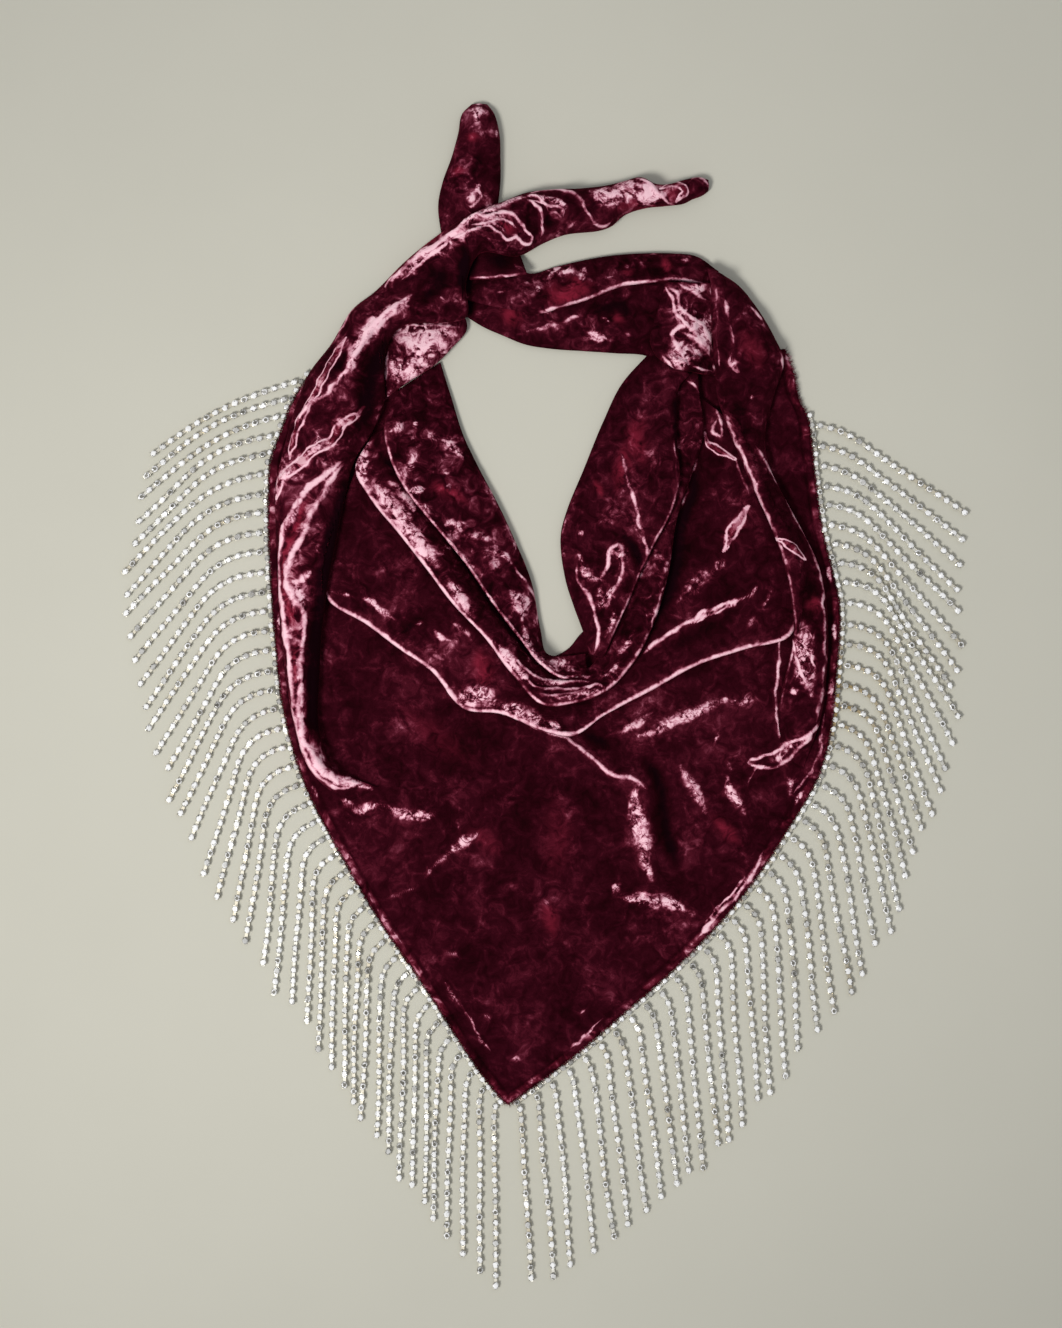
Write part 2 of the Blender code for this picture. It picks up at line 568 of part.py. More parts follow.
def lay_fringe(name, path, side, table, start_from):
    """The header chain along one edge with its strands, as one body."""
    far = lengths(path)
    span = far[-1] - start_from
    half = STONE_WIDTH / 2
    low, high = FLOOR_CLEARANCE, FLOOR_CLEARANCE + STONE_HEIGHT
    table = np.array(table, float)
    body = bmesh.new()

    def station(distance):
        """Four corners of the header's section at one place along the edge."""
        place = at(path, far, [distance])[0]
        ahead = at(path, far, [min(distance + 1, far[-1])])[0]
        behind = at(path, far, [max(distance - 1, 0)])[0]
        run = (ahead - behind) / np.linalg.norm(ahead - behind)
        out = np.array([-run[1], run[0]]) * side
        near, wide = place + out * GAP, place + out * (GAP + HEADER_WIDTH)
        return [
            body.verts.new((*(near * MILLIMETRE), low * MILLIMETRE)),
            body.verts.new((*(near * MILLIMETRE), high * MILLIMETRE)),
            body.verts.new((*(wide * MILLIMETRE), high * MILLIMETRE)),
            body.verts.new((*(wide * MILLIMETRE), low * MILLIMETRE)),
        ]

    shares = (np.arange(STRANDS) + 0.5) / STRANDS
    middles = start_from + span * shares
    starts, ends = middles - half, middles + half
    bends = [d for d in far if any(e + 1 < d < s - 1 for e, s in zip(ends, starts[1:]))]
    last = None
    roots = []
    for distance in sorted([*starts, *ends, *bends]):
        here = station(distance)
        if last is None:
            body.faces.new(here)
        else:
            strip = [
                body.faces.new((last[k], last[(k + 1) % 4], here[(k + 1) % 4], here[k]))
                for k in range(4)
            ]
            if distance in ends:
                roots.append((shares[len(roots)], strip[OUTER_SIDE]))
        last = here
    body.faces.new(last[::-1])

    for share, face in roots:
        strand = Strand(*at(table, table[:, 0], [share])[0])
        corners = list(face.verts)
        root = np.mean([np.array(v.co[:2]) for v in corners], axis=0) / MILLIMETRE
        line, heading = strand_line(root, side, strand)
        body.faces.remove(face)
        # Two corners of the root lie on either side of the strand's line, and stay on their side
        along = np.array(corners[0].co[:2]) / MILLIMETRE - root
        sides = [np.sign((np.array(c.co[:2]) / MILLIMETRE - root) @ along) for c in corners]
        ring = corners
        for place, way in zip(line[1:], heading[1:]):
            across = np.array([-way[1], way[0]]) * half
            across *= np.sign(across @ along)
            new = [
                body.verts.new((*((place + across * lean) * MILLIMETRE), corner.co[2]))
                for lean, corner in zip(sides, corners)
            ]
            for k in range(4):
                body.faces.new((ring[k], ring[(k + 1) % 4], new[(k + 1) % 4], new[k]))
            ring = new
        body.faces.new(ring)
    bmesh.ops.recalc_face_normals(body, faces=body.faces)
    bmesh.ops.triangulate(body, faces=body.faces)
    mesh = bpy.data.meshes.new(name)
    body.to_mesh(mesh)
    body.free()
    colour = screen_colour(STONES)
    mesh.materials.append(material(f"{name}_stones", colour, STONE_ROUGHNESS, STONE_METAL))
    bpy.context.scene.collection.objects.link(bpy.data.objects.new(name, mesh))


def main():
    clear_scene()
    pile = Pile()
    lay_panel(pile)
    for name, stretch in STRETCHES.items():
        lay_stretch(name, stretch, pile)
    lay_fringe("fringe_left", edge_path(LEFT_EDGE, SPOKES_LEFT), -1, LEFT_STRANDS, 0)
    right = edge_path(RIGHT_EDGE, SPOKES_RIGHT)
    lay_fringe("fringe_right", right, 1, RIGHT_STRANDS, RIGHT_FRINGE_FROM)


main()
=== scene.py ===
import math
from collections import namedtuple

import bpy
import numpy as np
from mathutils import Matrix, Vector


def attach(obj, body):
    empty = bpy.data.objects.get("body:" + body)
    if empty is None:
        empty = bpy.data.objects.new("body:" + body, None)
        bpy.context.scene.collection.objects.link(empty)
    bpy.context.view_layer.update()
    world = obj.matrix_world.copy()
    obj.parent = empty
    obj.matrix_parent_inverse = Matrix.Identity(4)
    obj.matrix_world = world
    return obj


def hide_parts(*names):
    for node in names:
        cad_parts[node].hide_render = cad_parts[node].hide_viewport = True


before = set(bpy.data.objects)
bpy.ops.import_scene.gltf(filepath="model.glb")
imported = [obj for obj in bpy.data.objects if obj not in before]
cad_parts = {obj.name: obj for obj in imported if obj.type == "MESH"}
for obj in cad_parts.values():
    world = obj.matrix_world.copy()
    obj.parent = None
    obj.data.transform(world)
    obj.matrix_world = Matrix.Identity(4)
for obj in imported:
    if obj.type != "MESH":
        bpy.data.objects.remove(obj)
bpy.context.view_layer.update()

# Cloth
MILLIMETRE = 0.001
WALL = 1.8               # one layer of velvet with its pile
GAP = 0.3                # clearance between two pieces
FINE = 0.8               # spacing of the points of a fold
ROUND = 1.15             # a fold's surface is this much wider than its outline
UNDER_STRIPS = 5         # strips across the underside of a fold
CELL = 1.0               # grain of the record of heights that each piece is laid on
MOST_TUCK = 0.2          # of a stretch's width, however narrow it is
SETTLE = 6.0             # how softly a fold bends over what lies below it
LEAST_CLOTH = 0.7        # thinnest cloth over the underside of a fold
PANEL_SPLIT = 15         # strips of the front panel for each strip of its solid
PANEL_RINGS = 158        # rings from its hidden border to its edge
HEM = 4.6                # width of the turned hem along the fringed edges

# Marks of the creases: their lift, painted highlights, painted sheen and painted shade
FAR = 9.0                # the field of a mark beyond any mark
WANDER = 0.7             # how far a crease strays from its path
WANDER_SWELL = 3.6       # size of the swells by which it strays
END_TAPER = 6            # half widths over which a crease fades at each end
END_SHARE = 0.15         # strength left at the very end
END_WIDTH = 0.4          # share of its width left there
FADE_LOSS = 0.7          # how far fading takes a mark's field away
DULL_LOSS = 1.2          # how far a low strength takes it away
PAIR_PALE_SHEEN = 0.8         # paler painted sheen along a pair, partly its paler pile
PAIR_RED_SHEEN = 0.5          # painted red sheen on the crest of a pair
RIM_TAPER = 0.12         # share of half a rim over which it fades
RIM_SHARE = 0.2          # strength left at its end
CRUSHED_SWELLS = [(7.0, 0.22), (3.2, 0.13), (1.7, 0.05)]   # size and height of the pile's swells

# Edges of a fold
SUNK = 0.12              # height left where an end sinks in
CALM_EDGE = 2.5          # breadth along its sides where creases die out
CALM_RIM = 3             # rims come up that many times sooner

# The turned hem of the front panel
PANEL_CRUSH = 0.55       # how strongly the panel is crushed
HEM_RISE = 0.5           # height of the hem over the panel
HEM_STEP = 0.8           # breadth of the step up to it
HEM_GROOVE = 0.35        # depth of the stitched groove beside it
GROOVE_HALF = 0.7        # half width of the groove
HEM_RUFFLE = 0.18        # unevenness of the hem
RUFFLE_SWELL = 2.4       # size of its swells
EDGE_ROUND = 1.3         # the edge rounds off over this
EDGE_THIN = 0.25         # share of the thickness left at the edge
LEAST_PANEL = 0.5        # thinnest panel
HEM_SHEEN_PATCH = 6.0          # size of the hem's patches of paler painted sheen

# Loose fibres along the hem
FIBRE_STEP = 0.19        # from fibre to fibre
FIBRE_HALF = 0.17        # half width at the root
FIBRE_ROOT = 0.5         # how far in from the edge it is rooted
FIBRE_LEAN = 0.5         # spread of its lean along the edge
FIBRE_REACH = (0.5, 2.2)     # least and most beyond the edge
FIBRE_HEIGHT = (0.9, 2.2)    # of its root
FIBRE_DRIFT = (-0.3, 0.5)    # of its tip above its root
HIGHLIT_FIBRES = 0.16     # share of the fibres that take a painted highlight

# Edges of the front panel and its hidden border (x, y)
LEFT_EDGE = [
    (-108, 146), (-115, 135), (-120, 122), (-125, 108), (-126, 94), (-126, 76), (-125, 54), (-123, 27),
    (-120, 0), (-111, -34), (-92, -72), (-75.5, -100), (-57, -127), (-41, -152), (-31, -167), (-19, -182),
]
RIGHT_EDGE = [
    (106, 158), (110, 146), (112, 136), (116, 127), (118, 112), (120, 94), (122.5, 76), (127, 58),
    (130, 45), (130, 27), (128.5, 9), (127, -8), (121.5, -32), (107, -58), (88, -86), (65, -112),
    (34, -140), (3, -166), (-19, -182),
]
PANEL_BORDER = [
    (-72, 151), (-67, 137), (-60, 120), (-51, 100), (-40, 80), (-28, 62), (-18, 45), (-11, 31), (-5, 21),
    (2, 20), (8, 23), (14, 30), (24, 38), (33, 50), (41, 68), (45, 88), (49, 108), (53, 126), (58, 142),
    (70, 155),
]
SPOKES_LEFT = 19
SPOKES_RIGHT = 21

# Broad swells of the front panel: x1, y1, x2, y2, half width, height
PANEL_SWELLS = [
    (-2, -15, 27, -32, 7, 4.0), (27, -32, 42, -38, 7, 4.5), (42, -38, 45, -81, 7, 5.0),
    (41, -16, 63, -6, 7, 4.0), (63, -6, 94, 1, 7, 3.5), (54, -27, 72, -52, 8, 3.0),
    (72, -52, 86, -63, 8, 2.5), (82, -36, 88, -52, 6, 3.0), (34, -89, 63, -94, 6, 2.5),
    (-103, -34, -80, -39, 8, 3.5), (-80, -39, -53, -52, 7, 3.0),
]
SWELL_FLOOR = 0.4

# Sections across each stretch: x1, y1, x2, y2 of its sides, height of its rim, rise of its crown
NECK_BAND_LOWER = [
    (-39, 188, -38, 173, 1.3, 1.5), (-31, 187, -30, 168, 1.4, 2.0), (-22, 185, -21, 164, 1.5, 2.8),
    (-11, 183, -11, 160, 1.6, 4.0), (1, 182, 1, 158, 1.6, 4.5), (14, 184, 15, 157, 1.6, 4.5),
    (28, 188, 30, 156, 1.6, 4.5), (41, 191, 43, 155, 1.6, 4.5), (52, 191, 53, 151, 1.6, 4.0),
    (63, 188, 65, 148, 1.4, 3.0),
]
NECK_BAND_UPPER = [
    (-37.5, 197, -38.5, 180, 1.3, 1.3), (-27, 197, -27, 177, 1.4, 1.8), (-17, 196, -17, 175, 1.5, 2.6),
    (-9, 192, -6, 173, 1.6, 3.6), (3, 195, 6, 176, 1.6, 4.5), (16, 198, 19, 180, 1.6, 4.5),
    (28, 200, 31, 185, 1.6, 4.0), (42, 201, 45, 187, 1.6, 4.0), (55, 201, 57, 188, 1.6, 4.0),
    (65, 200, 64, 187, 1.6, 3.5), (76, 193, 75, 185, 1.4, 2.0),
]
TAIL_UP = [
    (-35, 268, -28, 268, 1.4, 1.5), (-39, 264, -25, 264, 2.0, 4.0), (-41, 255, -22.5, 255, 2.2, 6.0),
    (-44, 244, -22, 244, 2.2, 6.5), (-48, 233, -22, 233, 2.2, 6.0), (-50, 223, -23, 223, 2.2, 6.0),
    (-49, 212, -24, 212, 1.6, 3.0), (-47, 203, -26, 203, 1.4, 1.5),
]
COWL_LOWER = [
    (-80, 119, -68, 127, 1.2, 1.0), (-92, 90, -71, 104, 1.3, 1.8), (-100, 46, -58, 81, 1.5, 3.0),
    (-82, 34, -46, 63, 1.5, 3.5), (-66, 22, -36, 48, 1.5, 3.5), (-53, 13, -25, 36, 1.5, 3.5),
    (-38, -4, -15, 22, 1.6, 4.0), (-22, -6, -7, 11, 1.6, 4.5), (-2, -14, 1, 2, 1.6, 4.5),
    (10, -16, 13, 2, 1.6, 4.5), (24, -7, 27, 9, 1.6, 4.5), (45, 4, 38, 22, 1.6, 4.5),
    (67, 16, 45, 40, 1.6, 5.0), (88, 23, 50, 58, 1.6, 5.0), (109, 30, 54, 76, 1.5, 4.5),
    (111, 52, 57, 90, 1.5, 4.0), (106, 72, 60, 106, 1.4, 3.2), (95, 94, 63, 121, 1.3, 2.2),
    (83, 124, 68, 136, 1.2, 1.2),
]
COWL_MIDDLE = [
    (-80, 118, -67, 126, 1.2, 1.0), (-87, 104, -65, 107, 1.4, 2.6), (-80, 90, -56, 90, 1.5, 4.2),
    (-67, 74, -46, 74, 1.6, 5.0), (-56, 60, -36, 58, 1.6, 5.0), (-44, 44, -25, 42, 1.6, 5.0),
    (-29, 28, -14, 28, 1.6, 5.0), (-17, 12, -3, 17, 1.6, 5.0), (-3, -2, 3, 12, 1.6, 5.0),
    (12, -1, 11, 12, 1.6, 5.0), (25, 4, 19, 16, 1.6, 5.0), (37, 16, 25, 27, 1.6, 5.0),
    (46, 33, 30, 42, 1.6, 5.0), (53, 56, 38, 63, 1.6, 5.0), (57, 81, 45, 90, 1.6, 4.6),
    (64, 103, 47, 112, 1.5, 3.6), (69, 121, 49, 130, 1.4, 2.6), (67, 140, 53, 141, 1.2, 1.3),
    (67, 152, 56, 153, 1.1, 0.8),
]
COWL_RIGHT = [
    (47, 158, 63, 146, 1.2, 1.0), (43, 154, 59, 142, 1.5, 2.5), (33, 143, 57, 131, 1.8, 5.0),
    (24, 125, 57, 115, 1.8, 6.0), (15, 103, 58, 97, 1.8, 6.0), (8, 86, 54, 83, 1.8, 6.0),
    (5, 74, 47, 70, 1.8, 6.0), (7, 55, 40, 55, 1.8, 6.0), (11, 42, 34, 41, 1.8, 5.5),
    (15, 31, 29, 30, 1.8, 4.5), (18, 21, 24, 19, 1.5, 2.5),
]
COWL_INNER = [
    (-67, 140, -49, 152, 1.3, 1.5), (-74, 125, -44, 136, 1.6, 4.0), (-72, 110, -39, 120, 1.8, 5.4),
    (-65, 95, -32, 105, 1.8, 6.0), (-54, 81, -24, 90, 1.8, 6.0), (-39, 63, -16, 73, 1.8, 6.0),
    (-26, 44, -8, 53, 1.8, 6.0), (-13, 27, -4, 32, 1.6, 4.0), (-4, 16, -1, 21, 1.5, 3.0),
    (5, 10, 6, 20, 1.5, 3.0), (17, 12, 16, 21, 1.4, 2.0),
]
KNOT_TURN = [
    (-72, 164, -57, 177, 1.5, 1.5), (-74, 161, -38, 172, 1.7, 3.0), (-75, 156, -37, 167, 1.8, 4.5),
    (-75, 151, -44, 158, 1.8, 5.0), (-74, 144, -52, 150, 1.8, 4.0), (-73, 136, -63, 143, 1.5, 2.0),
]
KNOT_FLAP = [
    (-34.5, 209, -35.8, 188.5, 1.2, 1.0), (-26, 207, -23, 189, 1.2, 1.4), (-19, 204, -16, 190, 1.2, 1.6),
    (-13, 200, -10, 191, 1.3, 1.2),
]
SHOULDER_FOLD = [
    (52, 187, 76, 187, 1.2, 1.5), (50, 180, 77, 180, 1.3, 2.5), (47, 170, 77, 170, 1.3, 2.5),
    (45, 161, 78, 160, 1.3, 2.5), (48, 154, 78, 152, 1.3, 2.5), (56, 148, 78, 145, 1.2, 1.5),
]
# The roll down the left side, the gathered stretch over the knot and the right end, in one run
LEFT_RUN = [
    (-89, -45, -77, -39, 1.5, 1.5), (-100, -39, -87, -35, 1.6, 4.0), (-108, -30, -97, -30, 1.8, 5.5),
    (-114, -13, -103, -13, 2.0, 6.5), (-118, 9, -103, 13, 2.2, 7.5), (-121, 36, -101, 40, 2.5, 8.0),
    (-122, 63, -97, 63, 2.5, 8.5), (-123, 85, -93, 84, 2.5, 8.5), (-122, 101, -88, 106, 2.5, 8.0),
    (-117, 121, -80, 119, 2.5, 8.5), (-112, 137, -74, 134, 3.0, 9.0), (-107, 148, -74, 147, 3.2, 9.0),
    (-98, 160, -73, 158, 3.0, 9.0), (-89, 175, -65, 168, 2.8, 8.5), (-78, 184, -49, 169, 2.5, 8.0),
    (-65, 197, -37, 172, 2.5, 8.0), (-51, 208, -37.2, 187.6, 2.5, 7.5), (-38, 216, -31, 200, 2.5, 8.0),
    (-22, 223, -14, 199, 2.8, 8.5), (-10, 228, -3, 205, 3.0, 9.0), (3, 229.5, 7, 209, 3.0, 9.0),
    (15, 230, 23, 211, 3.0, 8.5), (24, 231, 28, 213, 3.0, 8.0), (33, 233, 34, 218, 2.8, 7.5),
    (41, 235, 43, 221, 2.6, 7.5), (48, 232, 52, 222, 2.4, 6.0), (54, 232, 60, 223, 2.4, 6.0),
    (61, 234, 64, 225, 2.2, 5.5), (68, 235, 69, 227, 2.0, 4.5), (71.5, 234, 71.5, 229, 1.5, 2.0),
]
RIGHT_ROLL = [
    (70, 194, 74, 193, 1.5, 2.0), (72, 187, 84, 187, 2.0, 4.5), (72, 176, 92, 178, 2.2, 7.0),
    (73, 162, 101, 163, 2.4, 8.5), (74, 150, 105, 152, 2.4, 8.5), (75, 137, 101, 138, 2.4, 8.0),
    (79, 124, 97, 122, 2.2, 7.0), (86, 107, 98, 107, 2.0, 6.5), (93, 91, 107, 88, 2.0, 6.5),
    (100, 75, 114, 75, 2.0, 6.5), (105, 60, 121, 60, 2.0, 6.5), (108, 45, 124, 45, 2.0, 6.5),
    (109, 29, 125, 27, 2.0, 6.5), (106, 12, 124, 9, 2.0, 6.0), (103, -2, 122, -7, 1.8, 5.5),
    (104, -17, 117, -22, 1.6, 4.5), (110, -28, 114, -30, 1.4, 2.0),
]

# Stretches in the order in which they are laid: the solids that a piece replaces, its sections, where
# its crown stands between its sides, how far its underside tucks in, the lengths over which its two
# ends sink into what they lie on, and how strongly it is crushed
Stretch = namedtuple("Stretch", "nodes sections lean tuck sink_start sink_end crush")
STRETCHES = {
    "neck_band_lower": Stretch(["neck_band_lower"], NECK_BAND_LOWER, 0.5, 0.8, 0, 0, 0.8),
    "neck_band_upper": Stretch(["neck_band_upper"], NECK_BAND_UPPER, 0.5, 0.6, 0, 0, 1.0),
    "tail_up": Stretch(["tail_up"], TAIL_UP, 0.5, 1.2, 0, 0, 0.9),
    "cowl_lower": Stretch(["cowl_lower"], COWL_LOWER, 0.3, 0.0, 0, 0, 0.6),
    "cowl_middle": Stretch(["cowl_middle"], COWL_MIDDLE, 0.35, 0.0, 0, 0, 1.2),
    "cowl_right": Stretch(["cowl_right"], COWL_RIGHT, 0.5, 0.6, 0, 0, 0.9),
    "cowl_inner": Stretch(["cowl_inner"], COWL_INNER, 0.45, 0.6, 0, 6, 1.3),
    "knot_turn": Stretch(["knot_turn"], KNOT_TURN, 0.5, 0.6, 0, 0, 1.2),
    "knot_flap": Stretch(["knot_flap"], KNOT_FLAP, 0.5, 0.0, 0, 0, 0.4),
    "shoulder_fold": Stretch(["shoulder_fold"], SHOULDER_FOLD, 0.5, 0.0, 0, 0, 1.2),
    "left_run": Stretch(["left_roll", "rope", "tail_right"], LEFT_RUN, 0.5, 1.4, 26, 0, 1.0),
    "right_roll": Stretch(["right_roll"], RIGHT_ROLL, 0.5, 0.8, 0, 22, 0.8),
}
